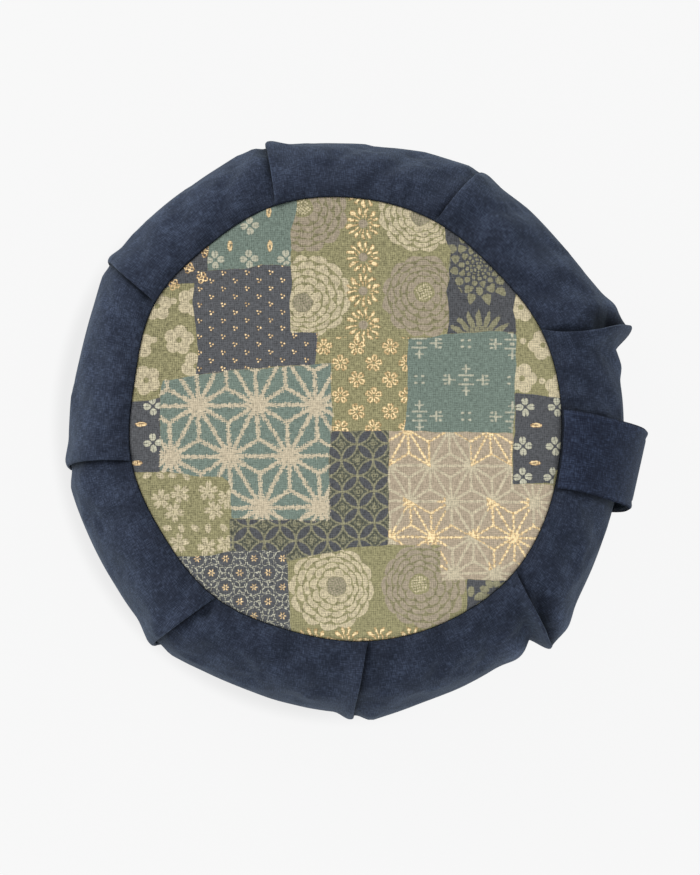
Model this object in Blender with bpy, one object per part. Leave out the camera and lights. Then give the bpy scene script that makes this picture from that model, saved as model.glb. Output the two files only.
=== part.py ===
"""Round meditation cushion lying on its flat back.

A filled band with eight knife pleats, each a real fold: a top layer, a nose and a tuck
under it. A crowned disc of printed cloth closes the top, a plain disc closes the base,
and a doubled strap runs from seam to seam as a handle. Lengths are in millimetres until
the meshes are built in metres; angles run anticlockwise from +X.
"""

import math
from collections import namedtuple

import bpy

MM = 0.001

BAND_MID_Z = 70.0
BAND_HALF_HEIGHT = 66.0
BAND_ROUNDNESS = 0.87  # exponent of the superellipse: 1 is an ellipse, less is squarer
SEAM_VALLEY = 2.0  # how far the seams are drawn in below the band
SEAM_Z = BAND_MID_Z + BAND_HALF_HEIGHT - SEAM_VALLEY
BASE_SEAM_Z = BAND_MID_Z - BAND_HALF_HEIGHT

PANEL_THICK = 1.5
PANEL_GAP = 0.4
PANEL_CROWN = 14.0  # rise of the panel's centre over its seam
CROWN_POWER = 2.2
BASE_FLAT_SHARE = 0.8  # the base is flat this far out and then lifts to the seam
BASE_LIFT = 4.0

FOLD_LIFT = 2.4  # step of a fold where it is sewn down
FLAP_THICK = 2.2  # the two layers of a fold
TUCK_GAP = 0.7
TUCK_DEPTH = 7.0

# A row per pleat, anticlockwise. seam_r is the panel seam's radius at the pleat and
# mid_seam_r half way to the next one. before_r, after_r and mid_r are the band's widest
# radius before the fold, after it and between it and the next. lift is the fold's step
# at the widest point and ridge the width of its rise. dip is the notch beside the nose,
# hollow a deeper one on the shoulder only, and dip_width the width of both.
Fold = namedtuple(
    "Fold",
    "seam_deg seam_r mid_seam_r tip_deg bow before_r lift ridge"
    " after_r mid_r dip hollow dip_width",
)
FOLDS = [
    Fold(24.6, 141.2, 138.9, 20.2, 1.6, 186.5, 16.5, 13, 200.0, 189.4, 0.0, 9.0, 17),
    Fold(65.6, 143.4, 146.5, 61.9, 0.0, 193.2, 3.6, 17, 195.6, 189.7, 2.2, 0.0, 11),
    Fold(108.2, 148.9, 146.3, 105.5, 0.6, 196.4, 4.4, 15, 198.0, 192.3, 3.2, 0.0, 10),
    Fold(148.4, 147.3, 141.2, 145.2, -0.3, 192.6, 3.6, 14, 194.6, 184.0, 2.4, 0.0, 11),
    Fold(191.0, 143.5, 142.0, 188.3, -0.3, 187.0, 3.6, 17, 189.6, 186.2, 4.0, 0.0, 15),
    Fold(233.8, 145.1, 143.6, 228.7, 0.0, 191.8, 3.8, 16, 193.9, 187.0, 3.2, 0.0, 14),
    Fold(276.5, 146.5, 148.4, 270.6, 0.1, 191.0, 4.0, 14, 197.6, 189.6, 6.2, 0.0, 13),
    Fold(318.0, 149.2, 142.3, 312.9, 0.4, 187.4, 14.0, 9, 200.4, 185.6, 0.0, 6.0, 15),
]

# Distances from a fold's nose, where a column of the mesh stands.
AFTER_MM = (1.0, 4.0, 8.0, 13.0)
BEFORE_MM = (12.0, 8.5, 5.5, 3.0, 1.2)
BETWEEN_DEG = 6.0  # spacing of the columns between them
# Rows of the band, as degrees above or below its widest line.
BAND_ROWS = (90, 85, 78, 69, 58, 45, 31, 16, 0, -16, -33, -50, -66, -79, -90)
PANEL_RINGS = (1.0, 0.94, 0.8, 0.58, 0.3)

HANDLE_DEG = -8.0
HANDLE_WIDTH = 52.0
HANDLE_THICK = 2.6
HANDLE_OUTER_R = 186.2  # the band's widest radius under the handle
HANDLE_END_GAP = 1.0
HANDLE_DROOP = 1.6  # how far its long edges hang below its middle on the shoulder
HANDLE_SKEW = 0.06  # the far edge of the loop lies this much further out than the near
HANDLE_COLUMNS = 7
# How far the handle stands off the band, by degrees above or below its widest line.
HANDLE_SLACK = (
    (90, 0.7), (85, 0.8), (78, 0.9), (69, 1.1), (61, 1.6), (53, 2.8), (45, 4.6),
    (37, 6.6), (29, 8.6), (21, 10.2), (13, 11.2), (5, 11.5), (-4, 11.2), (-13, 10.2),
    (-22, 8.8), (-31, 7.0), (-40, 5.2), (-50, 3.4), (-58, 2.2), (-66, 1.5), (-79, 0.9),
    (-90, 0.7),
)


def clear_scene():
    for obj in list(bpy.data.objects):
        bpy.data.objects.remove(obj, do_unlink=True)


def smooth(x):
    x = min(max(x, 0.0), 1.0)
    return x * x * (3 - 2 * x)


def mix(a, b, t):
    return a + (b - a) * t


def seam_knots():
    """(angle, radius) of the panel seam at each pleat and half way between two."""
    knots = []
    for i, fold in enumerate(FOLDS):
        following = FOLDS[(i + 1) % len(FOLDS)].seam_deg
        if following < fold.seam_deg:
            following += 360
        knots.append((fold.seam_deg, fold.seam_r))
        knots.append(((fold.seam_deg + following) / 2, fold.mid_seam_r))
    return knots


KNOTS = seam_knots()


def seam_radius(degrees):
    """The seam's radius, by a closed Hermite curve through the knots."""
    count = len(KNOTS)
    degrees = (degrees - KNOTS[0][0]) % 360 + KNOTS[0][0]
    i = max(k for k in range(count) if KNOTS[k][0] <= degrees)

    def knot(k):
        turns, k = divmod(k, count)
        return KNOTS[k][0] + 360 * turns, KNOTS[k][1]

    (a0, r0), (a1, r1), (a2, r2), (a3, r3) = (knot(i + k) for k in (-1, 0, 1, 2))
    t = (degrees - a1) / (a2 - a1)
    m1 = (r2 - r0) / (a2 - a0) * (a2 - a1)
    m2 = (r3 - r1) / (a3 - a1) * (a2 - a1)
    return (
        (2 * t**3 - 3 * t**2 + 1) * r1
        + (t**3 - 2 * t**2 + t) * m1
        + (3 * t**2 - 2 * t**3) * r2
        + (t**3 - t**2) * m2
    )


def reach(phi):
    """How far out between the seam and the widest line a row lies, 0 to 1."""
    return max(math.cos(phi), 0.0) ** BAND_ROUNDNESS


def band_point(degrees, outer_r, phi, offset):
    """A point on the band, moved outwards by offset."""
    out = reach(phi)
    inner = seam_radius(degrees)
    r = inner + (outer_r - inner) * out + offset * math.cos(phi)
    rise = math.copysign(abs(math.sin(phi)) ** BAND_ROUNDNESS, math.sin(phi))
    z = BAND_MID_Z + BAND_HALF_HEIGHT * rise + offset * math.sin(phi)
    if phi > 0:
        z -= SEAM_VALLEY * math.exp(-((out / 0.1) ** 2))
    a = math.radians(degrees)
    return r * math.cos(a), r * math.sin(a), z


def edge_angle(fold, out):
    along = out + fold.bow * out * (1 - out)
    return mix(fold.seam_deg, fold.tip_deg, min(along, 1.0))


def between_r(fold, following, u):
    """The band's widest radius from one fold (u = 0) to the next (u = 1)."""
    end, t = (fold.after_r, 1 - 2 * u) if u < 0.5 else (following.before_r, 2 * u - 1)
    return fold.mid_r + (end - fold.mid_r) * t * t


def fold_lift(fold, out):
    return mix(FOLD_LIFT, fold.lift, smooth((out - 0.1) / 0.9))


def top_height(fold, out, distance):
    """Height of the top layer at a distance before its nose."""
    return fold_lift(fold, out) * (1 - smooth(distance / fold.ridge))


def dip_depth(fold, out, distance):
    """Depth of the notch at a distance after the nose."""
    shoulder = smooth((out - 0.35) / 0.4) * smooth((1 - out) / 0.12)
    deep = fold.dip * out * out + fold.hollow * shoulder
    return deep * (1 - smooth(distance / fold.dip_width))


def fold_columns(fold, previous_edge, phi):
    """The nose, the underside, the bottom of the tuck and the layer below, in that order.

    Where there is no room for a tuck, at the seams and where a fold stands up as a fin,
    the same columns become a plain step.
    """
    out = reach(phi)
    lift = fold_lift(fold, out)
    under = (fold.after_r - fold.before_r) * out * math.cos(phi) - dip_depth(fold, out, 0)
    step = lift - under
    tucked = smooth(out / 0.16) * min(max((step - 1.8) / 0.8, 0.0), 1.0)
    depth = min(TUCK_DEPTH, 0.5 * fold.ridge)
    flap = min(FLAP_THICK, 0.62 * step)
    roof = top_height(fold, out, depth) - flap
    floor = min(under, roof - TUCK_GAP)
    roof = max(min(lift - flap, roof), floor + TUCK_GAP)
    stepped = ((0.2, lift - 0.2 * step), (0.4, lift - 0.4 * step),
               (0.6, lift - 0.6 * step), (0.8, lift - 0.8 * step))
    folded = ((0.3, lift - 0.5 * flap), (-1.0, lift - flap), (-depth, roof), (-depth, floor))
    r = seam_radius(previous_edge) * (1 - out) + fold.before_r * out
    for (x0, h0), (x1, h1) in zip(stepped, folded):
        x, height = mix(x0, x1, tucked), mix(h0, h1, tucked)
        yield band_point(
            previous_edge + math.degrees(x / r), fold.before_r, phi, height
        )


def band_row(phi):
    """Every point of one row round the band, with the tucks in their order."""
    out = reach(phi)
    points = []
    for i, fold in enumerate(FOLDS):
        following = FOLDS[(i + 1) % len(FOLDS)]
        start = edge_angle(fold, out)
        end = edge_angle(following, out)
        if end < start:
            end += 360
        r = seam_radius(start) * (1 - out) + fold.mid_r * out
        arc = math.radians(end - start) * r
        inner = arc - AFTER_MM[-1] - BEFORE_MM[0]
        count = round((following.seam_deg - fold.seam_deg) % 360 / BETWEEN_DEG)
        places = list(AFTER_MM)
        places += [AFTER_MM[-1] + inner * k / count for k in range(1, count)]
        places += [arc - before for before in BEFORE_MM]
        for place in places:
            u = place / arc
            offset = top_height(following, out, arc - place) - dip_depth(fold, out, place)
            points.append(
                band_point(mix(start, end, u), between_r(fold, following, u), phi, offset)
            )
        points += fold_columns(following, end, phi)
    return points


def crown_z(share):
    """Height of the panel's upper face over its seam, by share of the seam's radius."""
    return PANEL_CROWN * (1 - share**CROWN_POWER)


def base_z(r, seam_r):
    """Height of the base's lower face: flat, then lifting to the seam."""
    past = max(r / seam_r - BASE_FLAT_SHARE, 0.0) / (1 - BASE_FLAT_SHARE)
    return BASE_LIFT * past * past


def closed_mesh(name, rings, centre_first, centre_last, colour):
    """A closed skin of equal rings between two centre points."""
    count = len(rings[0])
    points = [centre_first] + [p for ring in rings for p in ring] + [centre_last]
    faces = []
    for i in range(count):
        j = (i + 1) % count
        faces.append((0, 1 + i, 1 + j))
        for row in range(len(rings) - 1):
            a, b = 1 + row * count, 1 + (row + 1) * count
            faces.append((a + i, b + i, b + j))
            faces.append((a + i, b + j, a + j))
        last = 1 + (len(rings) - 1) * count
        faces.append((len(points) - 1, last + j, last + i))
    add_object(name, points, faces, colour)


def add_object(name, points, faces, colour):
    mesh = bpy.data.meshes.new(name)
    mesh.from_pydata([[c * MM for c in p] for p in points], [], faces)
    mesh.shade_smooth()
    material = bpy.data.materials.new(name)
    material.use_nodes = True
    shader = material.node_tree.nodes["Principled BSDF"]
    shader.inputs["Base Color"].default_value = (*colour, 1)
    shader.inputs["Roughness"].default_value = 0.9
    mesh.materials.append(material)
    obj = bpy.data.objects.new(name, mesh)
    bpy.context.scene.collection.objects.link(obj)
    return obj


def polar(point):
    return math.degrees(math.atan2(point[1], point[0])), math.hypot(point[0], point[1])


def disc_ring(angles, share, inset, height):
    """A ring at a share of the seam's radius; height takes that radius and the seam's."""
    ring = []
    for a in angles:
        seam_r = seam_radius(a) - inset
        r, t = seam_r * share, math.radians(a)
        ring.append((r * math.cos(t), r * math.sin(t), height(r, seam_r)))
    return ring


def build_body():
    band = [band_row(math.radians(degrees)) for degrees in BAND_ROWS]
    angles = [polar(p)[0] for p in band[0]]
    base_angles = [polar(p)[0] for p in band[-1]]
    floor = SEAM_Z - PANEL_THICK - PANEL_GAP
    roof = PANEL_THICK + PANEL_GAP
    top = [
        disc_ring(angles, share, 0, lambda r, seam_r: floor + crown_z(r / seam_r))
        for share in reversed(PANEL_RINGS)
    ]
    under = [
        disc_ring(base_angles, share, 0, lambda r, seam_r: roof + base_z(r, seam_r))
        for share in PANEL_RINGS
    ]
    closed_mesh(
        "cushion_body",
        top + band + under,
        (0, 0, floor + PANEL_CROWN),
        (0, 0, roof),
        (0.035, 0.05, 0.08),
    )


def build_panel(name, lower, upper, colour):
    """A cloth disc between two height functions, just inside the seam."""
    angles = [5.0 * i for i in range(72)]
    above = [disc_ring(angles, share, 0.7, upper) for share in reversed(PANEL_RINGS)]
    below = [disc_ring(angles, share, 0.7, lower) for share in PANEL_RINGS]
    closed_mesh(
        name, above + below, (0, 0, upper(0, 1)), (0, 0, lower(0, 1)), colour
    )


def handle_point(across, degrees, slack):
    """A point of the strap: across its width, along it, and off the band."""
    phi = math.radians(degrees)
    out = reach(phi)
    middle = band_point(HANDLE_DEG, HANDLE_OUTER_R, phi, slack)
    along, z = math.hypot(middle[0], middle[1]), middle[2]
    turn = math.degrees(math.asin(across / along))
    seam_along = math.sqrt((seam_radius(HANDLE_DEG + turn)) ** 2 - across**2)
    follow = seam_along - seam_radius(HANDLE_DEG)
    along += (follow + HANDLE_END_GAP) * (1 - out)
    along += HANDLE_SKEW * across * smooth((out - 0.5) / 0.5)
    droop = HANDLE_DROOP * (across / (HANDLE_WIDTH / 2)) ** 2
    z -= droop * math.sin(phi) * smooth((out - 0.4) / 0.3) * smooth((1 - out) / 0.3)
    a = math.radians(HANDLE_DEG)
    x = along * math.cos(a) - across * math.sin(a)
    y = along * math.sin(a) + across * math.cos(a)
    return x, y, z


def build_handle():
    half = HANDLE_WIDTH / 2
    across = [half * (2 * i / (HANDLE_COLUMNS - 1) - 1) for i in range(HANDLE_COLUMNS)]
    rings = []
    for degrees, slack in HANDLE_SLACK:
        inner = [handle_point(s, degrees, slack) for s in across]
        outer = [handle_point(s, degrees, slack + HANDLE_THICK) for s in reversed(across)]
        rings.append(inner + outer)
    count = len(rings[0])
    points = [p for ring in rings for p in ring]
    faces = []
    for row in range(len(rings) - 1):
        for i in range(count):
            j = (i + 1) % count
            a, b = row * count, (row + 1) * count
            faces.append((a + i, a + j, b + j))
            faces.append((a + i, b + j, b + i))
    last = (len(rings) - 1) * count
    for i in range(HANDLE_COLUMNS - 1):
        mate = count - 1 - i
        faces.append((i, mate, mate - 1))
        faces.append((i, mate - 1, i + 1))
        faces.append((last + i, last + i + 1, last + mate - 1))
        faces.append((last + i, last + mate - 1, last + mate))
    add_object("handle_strap", points, faces, (0.035, 0.05, 0.08))


clear_scene()
build_body()
build_panel(
    "top_panel",
    lambda r, seam_r: SEAM_Z - PANEL_THICK + crown_z(r / seam_r),
    lambda r, seam_r: SEAM_Z + crown_z(r / seam_r),
    (0.27, 0.29, 0.16),
)
build_panel(
    "base_panel",
    base_z,
    lambda r, seam_r: PANEL_THICK + base_z(r, seam_r),
    (0.035, 0.05, 0.08),
)
build_handle()
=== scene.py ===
import math
from collections import namedtuple

import bpy
import numpy as np
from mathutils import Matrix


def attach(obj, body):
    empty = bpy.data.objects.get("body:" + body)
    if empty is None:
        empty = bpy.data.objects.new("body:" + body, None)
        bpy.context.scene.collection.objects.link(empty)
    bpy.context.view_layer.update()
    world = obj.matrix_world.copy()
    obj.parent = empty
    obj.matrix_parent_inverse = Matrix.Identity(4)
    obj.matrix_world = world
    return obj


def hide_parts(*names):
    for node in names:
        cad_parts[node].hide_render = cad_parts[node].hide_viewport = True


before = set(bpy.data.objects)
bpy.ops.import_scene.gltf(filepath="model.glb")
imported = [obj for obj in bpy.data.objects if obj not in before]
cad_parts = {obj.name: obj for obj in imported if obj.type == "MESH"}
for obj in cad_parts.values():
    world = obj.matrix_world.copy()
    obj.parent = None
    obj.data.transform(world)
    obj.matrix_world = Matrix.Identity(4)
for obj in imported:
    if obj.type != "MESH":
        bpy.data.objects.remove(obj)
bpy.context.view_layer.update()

mm = 0.001


def linearColour(hexCode):
    parts = [int(hexCode[i:i + 2], 16) / 255 for i in (1, 3, 5)]
    return tuple(c / 12.92 if c <= 0.04045 else ((c + 0.055) / 1.055) ** 2.4 for c in parts) + (1.0,)


def addNode(tree, kind, sockets=(), **settings):
    new = tree.nodes.new("ShaderNode" + kind)
    for name, value in settings.items():
        setattr(new, name, value)
    for key, value in (sockets.items() if isinstance(sockets, dict) else enumerate(sockets)):
        if isinstance(value, bpy.types.Node):
            value = value.outputs[0]
        if isinstance(value, bpy.types.NodeSocket):
            tree.links.new(value, new.inputs[key])
        elif value is not None:
            new.inputs[key].default_value = value
    return new


def newMaterial(name):
    material = bpy.data.materials.new(name)
    material.use_nodes = True
    return material, material.node_tree, material.node_tree.nodes["Principled BSDF"]


def setSockets(shader, values):
    for name, value in values.items():
        shader.inputs[name].default_value = value


def smooth(x):
    x = min(max(x, 0.0), 1.0)
    return x * x * (3 - 2 * x)


def mix(a, b, t):
    return a + (b - a) * t


def makePiece(name, points, faces, attributes=None):
    mesh = bpy.data.meshes.new(name)
    mesh.from_pydata([[c * mm for c in p] for p in points], [], faces)
    mesh.shade_smooth()
    for label, values in (attributes or {}).items():
        values = np.asarray(values, dtype=np.float32)
        kind = "FLOAT_VECTOR" if values.ndim == 2 else "FLOAT"
        layer = mesh.attributes.new(label, kind, "POINT")
        layer.data.foreach_set("vector" if values.ndim == 2 else "value", values.ravel())
    piece = bpy.data.objects.new(name, mesh)
    bpy.context.scene.collection.objects.link(piece)
    return piece


view = {
    "target": (0.00262, -0.0070, 0.075), "distance": 3.0, "elevation": 85.0,
    "focal": 123.2, "sensorHeight": 24.0, "clipEnd": 20.0,
}
tilt = math.radians(view["elevation"])
cameraData = bpy.data.cameras.new("camera")
cameraData.sensor_fit = "VERTICAL"
cameraData.sensor_height = view["sensorHeight"]
cameraData.lens = view["focal"]
cameraData.clip_end = view["clipEnd"]
camera = bpy.data.objects.new("camera", cameraData)
camera.location = (
    view["target"][0],
    view["target"][1] - view["distance"] * math.cos(tilt),
    view["target"][2] + view["distance"] * math.sin(tilt),
)
camera.rotation_euler = (math.pi / 2 - tilt, 0, 0)
bpy.context.scene.collection.objects.link(camera)
bpy.context.scene.camera = camera

studio = {
    "skyColour": (0.965, 0.985, 1, 1), "skyStrength": 0.76,
    "keyStrength": 54.0, "keySize": 2.0, "keyPlace": (-2.1, 1.8, 1.6), "keyColour": (1.0, 0.985, 0.96),
    "floorHalf": 6.0, "floorColour": (0.03, 0.03, 0.03, 1), "floorGlow": 0.908,
    # the painted shadow on the floor: its middle, how far out it starts and how soft that is, which way it
    # lies, the cosines between which it grows, how deep it gets, and how much of that the glow loses
    "shadeMiddle": (-0.0027, -0.0078, 0), "shadeStart": 0.195, "shadeWidth": 0.013,
    "shadeTowards": (-0.883, -0.469, 0), "shadeFrom": 0.2, "shadeFull": 0.65, "shadeDeep": 0.12,
    "shadeTakes": 0.9,
}
world = bpy.data.worlds.new("studio")
world.use_nodes = True
setSockets(world.node_tree.nodes["Background"],
           {"Color": studio["skyColour"], "Strength": studio["skyStrength"]})
bpy.context.scene.world = world
bpy.context.scene.view_settings.view_transform = "Standard"  # keeps the white floor white and the dyes true
keyData = bpy.data.lights.new("softKey", "AREA")
keyData.energy = studio["keyStrength"]
keyData.size = studio["keySize"]
keyData.color = studio["keyColour"]
key = bpy.data.objects.new("softKey", keyData)
key.location = studio["keyPlace"]
aim = np.array(studio["keyPlace"])  # it looks back at the origin
key.rotation_euler = (math.acos(aim[2] / np.linalg.norm(aim)), 0, math.atan2(aim[1], aim[0]) + math.pi / 2)
bpy.context.scene.collection.objects.link(key)

floorMesh = bpy.data.meshes.new("floor")
far = studio["floorHalf"]
floorMesh.from_pydata([(-far, -far, 0), (far, -far, 0), (far, far, 0), (-far, far, 0)], [], [(0, 1, 2, 3)])
floor = bpy.data.objects.new("floor", floorMesh)
bpy.context.scene.collection.objects.link(floor)
# painted board, rolled matt white: it glows evenly, as a light table does, and a painted shadow dims it a
# little at the lower left
floorPaint, tree, shader = newMaterial("matWhiteFloor")
setSockets(shader, {"Base Color": studio["floorColour"], "Emission Color": (1, 1, 1, 1),
                    "Roughness": 0.95, "Specular IOR Level": 0.0})
spot = addNode(tree, "NewGeometry").outputs["Position"]
spot = addNode(tree, "VectorMath", (spot, studio["shadeMiddle"]), operation="ADD")
away = addNode(tree, "VectorMath", (spot,), operation="LENGTH").outputs["Value"]
fade = (away, studio["shadeStart"], studio["shadeStart"] + studio["shadeWidth"], 1.0, 0.0)
near = addNode(tree, "MapRange", fade, interpolation_type="SMOOTHSTEP")
spot = addNode(tree, "VectorMath", (spot,), operation="NORMALIZE")
side = addNode(tree, "VectorMath", (spot, studio["shadeTowards"]), operation="DOT_PRODUCT")
fade = (side.outputs["Value"], studio["shadeFrom"], studio["shadeFull"], 0.0, studio["shadeDeep"])
side = addNode(tree, "MapRange", fade, interpolation_type="SMOOTHSTEP")
near = addNode(tree, "Math", (near, side), operation="MULTIPLY")
glow = addNode(tree, "Math", (near, -studio["shadeTakes"], studio["floorGlow"]), operation="MULTIPLY_ADD")
tree.links.new(glow.outputs[0], shader.inputs["Emission Strength"])
floorMesh.materials.append(floorPaint)
print("camera, light and floor")


band = {
    "midZ": 70.0, "halfHeight": 66.0, "roundness": 0.87, "seamZ": 134.0, "meanR": 188.0,
    "seamValley": 1.4, "valleyReach": 0.1, "rows": 120, "rowCrowding": 1.25, "betweenDegrees": 0.86,
    # how high a lip stands at the seam and over the belly, and where it reaches its full height
    "foldLift": 1.8, "bellyLift": 0.9, "liftFull": 0.85,
    "pocket": 1.6, "pocketWidth": 6.0, "hollowFrom": 0.35, "hollowFull": 0.4, "hollowEnd": 0.12,
    "gather": 0.45, "gatherLength": 13.0, "gatherReach": 11.0, "gatherDrift": 1.9, "driftLength": 49.0,
    # the folded edge: its thickness at the seam and at the tip, and the tuck behind it
    "flapThick": 2.2, "roundTip": 5.6, "flapShare": 0.7, "tipRound": 1.6, "tipReach": 6.0,
    "tuckGap": 1.1, "tuckDepth": 7.5, "tuckFrom": 0.16, "leastStep": 1.8, "stepBlend": 0.8,
    # painted light: how much darker the cloth is drawn beside a lip, in a hollow, in a crease and near the
    # seams, how far that goes, and the painted highlight along a lip's edge
    "lipShade": 0.85, "lipReach": 1.1, "lipReachSeam": 0.7, "edgeLight": 0.06, "edgeReach": 2.0,
    "dipShade": 0.03, "hollowShade": 0.0067, "creaseShade": 0.14, "seamShade": 0.3, "seamReach": 12.0,
    # the folded nose: its angles and the painted light on each, then the tuck's roof and bed behind it and
    # the painted shade there
    "noseDegrees": (66, 40, 14, -14, -42, -70), "noseLight": (1.06, 1.08, 1.08, 1.0, 0.8, 0.55),
    "roofShares": (0.1, 0.5, 1), "bedShares": (0, 0.45, 0.85), "tuckLight": 0.3,
    "afterNose": (0.5, 1.4, 2.7, 4.4, 6.6, 9.6, 13.2),
    "beforeNose": (13.0, 10.6, 8.4, 6.5, 4.9, 3.5, 2.3, 1.3, 0.5),
    "floorZ": 0.3, "floorFade": 18.0, "coverShares": (0.3, 0.6, 0.85, 0.96, 0.999),
}
panel = {"thick": 1.5, "gap": 0.4, "crown": 14.0, "power": 2.2, "inset": 0.45, "rings": 172,
         "edgeShare": 0.975, "edgeDrop": 0.8, "underShares": (1.0, 0.93, 0.7, 0.35)}
base = {"flatShare": 0.8, "lift": 4.0, "rings": 48}

# a row per pleat, anticlockwise, in degrees and mm: where it is sewn and the seam's radius there and
# half way on, where its tip lies and how its edge bows, the widest line's radius before it, how high
# it stands and how far back that runs, the radius after it and half way on, and the dip beyond it
Fold = namedtuple(
    "Fold",
    "seamDeg seamR midSeamR tipDeg bow beforeR lift ridge afterR midR dip hollow dipWidth",
)
folds = [
    Fold(24.6, 141.2, 138.9, 19.5, 1.6, 187.0, 17.0, 13, 200.0, 189.4, 0.0, 9.0, 17),
    Fold(65.6, 143.4, 146.5, 61.9, 0.0, 192.2, 3.0, 20, 195.6, 189.7, 2.4, 0.0, 11),
    Fold(108.2, 148.9, 146.3, 106.0, 0.6, 195.9, 3.6, 17, 198.0, 192.3, 3.4, 0.0, 10),
    Fold(148.4, 147.3, 141.2, 145.4, -0.3, 192.4, 3.2, 15, 194.6, 184.0, 2.6, 0.0, 11),
    Fold(191.0, 143.5, 142.0, 188.4, 0.5, 186.4, 3.4, 20, 189.6, 186.2, 4.0, 0.0, 15),
    Fold(233.8, 145.1, 143.6, 228.7, 0.0, 191.6, 4.4, 22, 193.9, 187.0, 3.2, 0.0, 14),
    Fold(275.6, 146.5, 148.4, 271.4, 0.1, 191.0, 5.0, 13, 199.2, 189.6, 6.8, 0.0, 13),
    Fold(318.0, 149.2, 142.3, 312.9, 0.4, 187.4, 15.0, 7.5, 200.4, 185.6, 0.0, 6.0, 11),
]

seamKnots = []
for i, fold in enumerate(folds):
    following = folds[(i + 1) % len(folds)].seamDeg
    following += 360 if following < fold.seamDeg else 0
    seamKnots += [(fold.seamDeg, fold.seamR), ((fold.seamDeg + following) / 2, fold.midSeamR)]


def seamRadius(degrees):
    count = len(seamKnots)
    degrees = (degrees - seamKnots[0][0]) % 360 + seamKnots[0][0]
    i = max(k for k in range(count) if seamKnots[k][0] <= degrees)
    four = []
    for k in range(i - 1, i + 3):
        turns, k = divmod(k, count)
        four.append((seamKnots[k][0] + 360 * turns, seamKnots[k][1]))
    (a0, r0), (a1, r1), (a2, r2), (a3, r3) = four
    t = (degrees - a1) / (a2 - a1)
    m1 = (r2 - r0) / (a2 - a0) * (a2 - a1)
    m2 = (r3 - r1) / (a3 - a1) * (a2 - a1)
    return ((2 * t**3 - 3 * t**2 + 1) * r1 + (t**3 - 2 * t**2 + t) * m1
            + (3 * t**2 - 2 * t**3) * r2 + (t**3 - t**2) * m2)


def reachOut(phi):
    return max(math.cos(phi), 0.0) ** band["roundness"]  # 0 at the seams, 1 at the widest line


def bandPoint(degrees, outerR, phi, offset):
    out = reachOut(phi)
    r = mix(seamRadius(degrees), outerR, out) + offset * math.cos(phi)
    rise = math.copysign(abs(math.sin(phi)) ** band["roundness"], math.sin(phi))
    z = band["midZ"] + band["halfHeight"] * rise + offset * math.sin(phi)
    if phi > 0:
        z -= band["seamValley"] * math.exp(-((out / band["valleyReach"]) ** 2))
    a = math.radians(degrees)
    return r * math.cos(a), r * math.sin(a), z


def edgeAngle(fold, out):
    along = out + fold.bow * out * (1 - out)
    return mix(fold.seamDeg, fold.tipDeg, min(along, 1.0))


def betweenR(fold, following, u):
    end, t = (fold.afterR, 1 - 2 * u) if u < 0.5 else (following.beforeR, 2 * u - 1)
    return fold.midR + (end - fold.midR) * t * t


def foldLift(fold, out):
    belly = band["bellyLift"] * 4 * out * (1 - out)
    return mix(band["foldLift"], fold.lift, smooth(out / band["liftFull"])) + belly


def topHeight(fold, out, distance):
    rounded = band["tipRound"] * out**4 * max(1 - distance / band["tipReach"], 0.0) ** 2
    return foldLift(fold, out) * (1 - smooth(distance / fold.ridge)) - rounded


def dipDepth(fold, out, distance):
    shoulder = smooth((out - band["hollowFrom"]) / band["hollowFull"]) * smooth((1 - out) / band["hollowEnd"])
    deep = fold.dip * out * out + fold.hollow * shoulder
    pocket = band["pocket"] * smooth(out / 0.15) * smooth((1 - out) / 0.1)
    return (deep * (1 - smooth(distance / fold.dipWidth))
            + pocket * (1 - smooth(distance / band["pocketWidth"])))


def lipStep(fold, out, phi):
    # the height of the lip and of the cloth below it, and how thick the folded edge is
    lift = topHeight(fold, out, 0)
    under = (fold.afterR - fold.beforeR) * out * math.cos(phi) - dipDepth(fold, out, 0)
    flap = min(mix(band["flapThick"], band["roundTip"], out**3), band["flapShare"] * (lift - under))
    return lift, under, flap


def foldColumns(fold, previousEdge, phi):
    out = reachOut(phi)
    lift, under, flap = lipStep(fold, out, phi)
    step = lift - under
    tucked = min(max((step - band["leastStep"]) / band["stepBlend"], 0.0), 1.0)
    tucked *= smooth(out / band["tuckFrom"])
    depth = min(band["tuckDepth"], 0.5 * fold.ridge)
    roof = topHeight(fold, out, depth) - flap
    bed = min(under, roof - band["tuckGap"])
    roof = max(min(lift - flap, roof), bed + band["tuckGap"])
    folded = [
        (flap / 2 * (math.cos(math.radians(t)) - 1), lift - flap / 2 * (1 - math.sin(math.radians(t))))
        for t in band["noseDegrees"]
    ]
    folded += [(mix(-flap / 2, -depth, t), mix(lift - flap, roof, t)) for t in band["roofShares"]]
    folded += [(mix(-depth, 0.0, t), mix(bed, under, t)) for t in band["bedShares"]]
    r = seamRadius(previousEdge) * (1 - out) + fold.beforeR * out
    # painted light: the nose drawn a little lighter, its underside and the tuck behind it drawn darker
    light = band["noseLight"] + (band["tuckLight"],) * (len(folded) - len(band["noseLight"]))
    for k, (x1, h1) in enumerate(folded):
        t = (k + 1) / (len(folded) + 1)
        x, height = mix(t, x1, tucked), mix(lift - t * step, h1, tucked)
        yield previousEdge + math.degrees(x / r), fold.beforeR, height, light[k]


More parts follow.
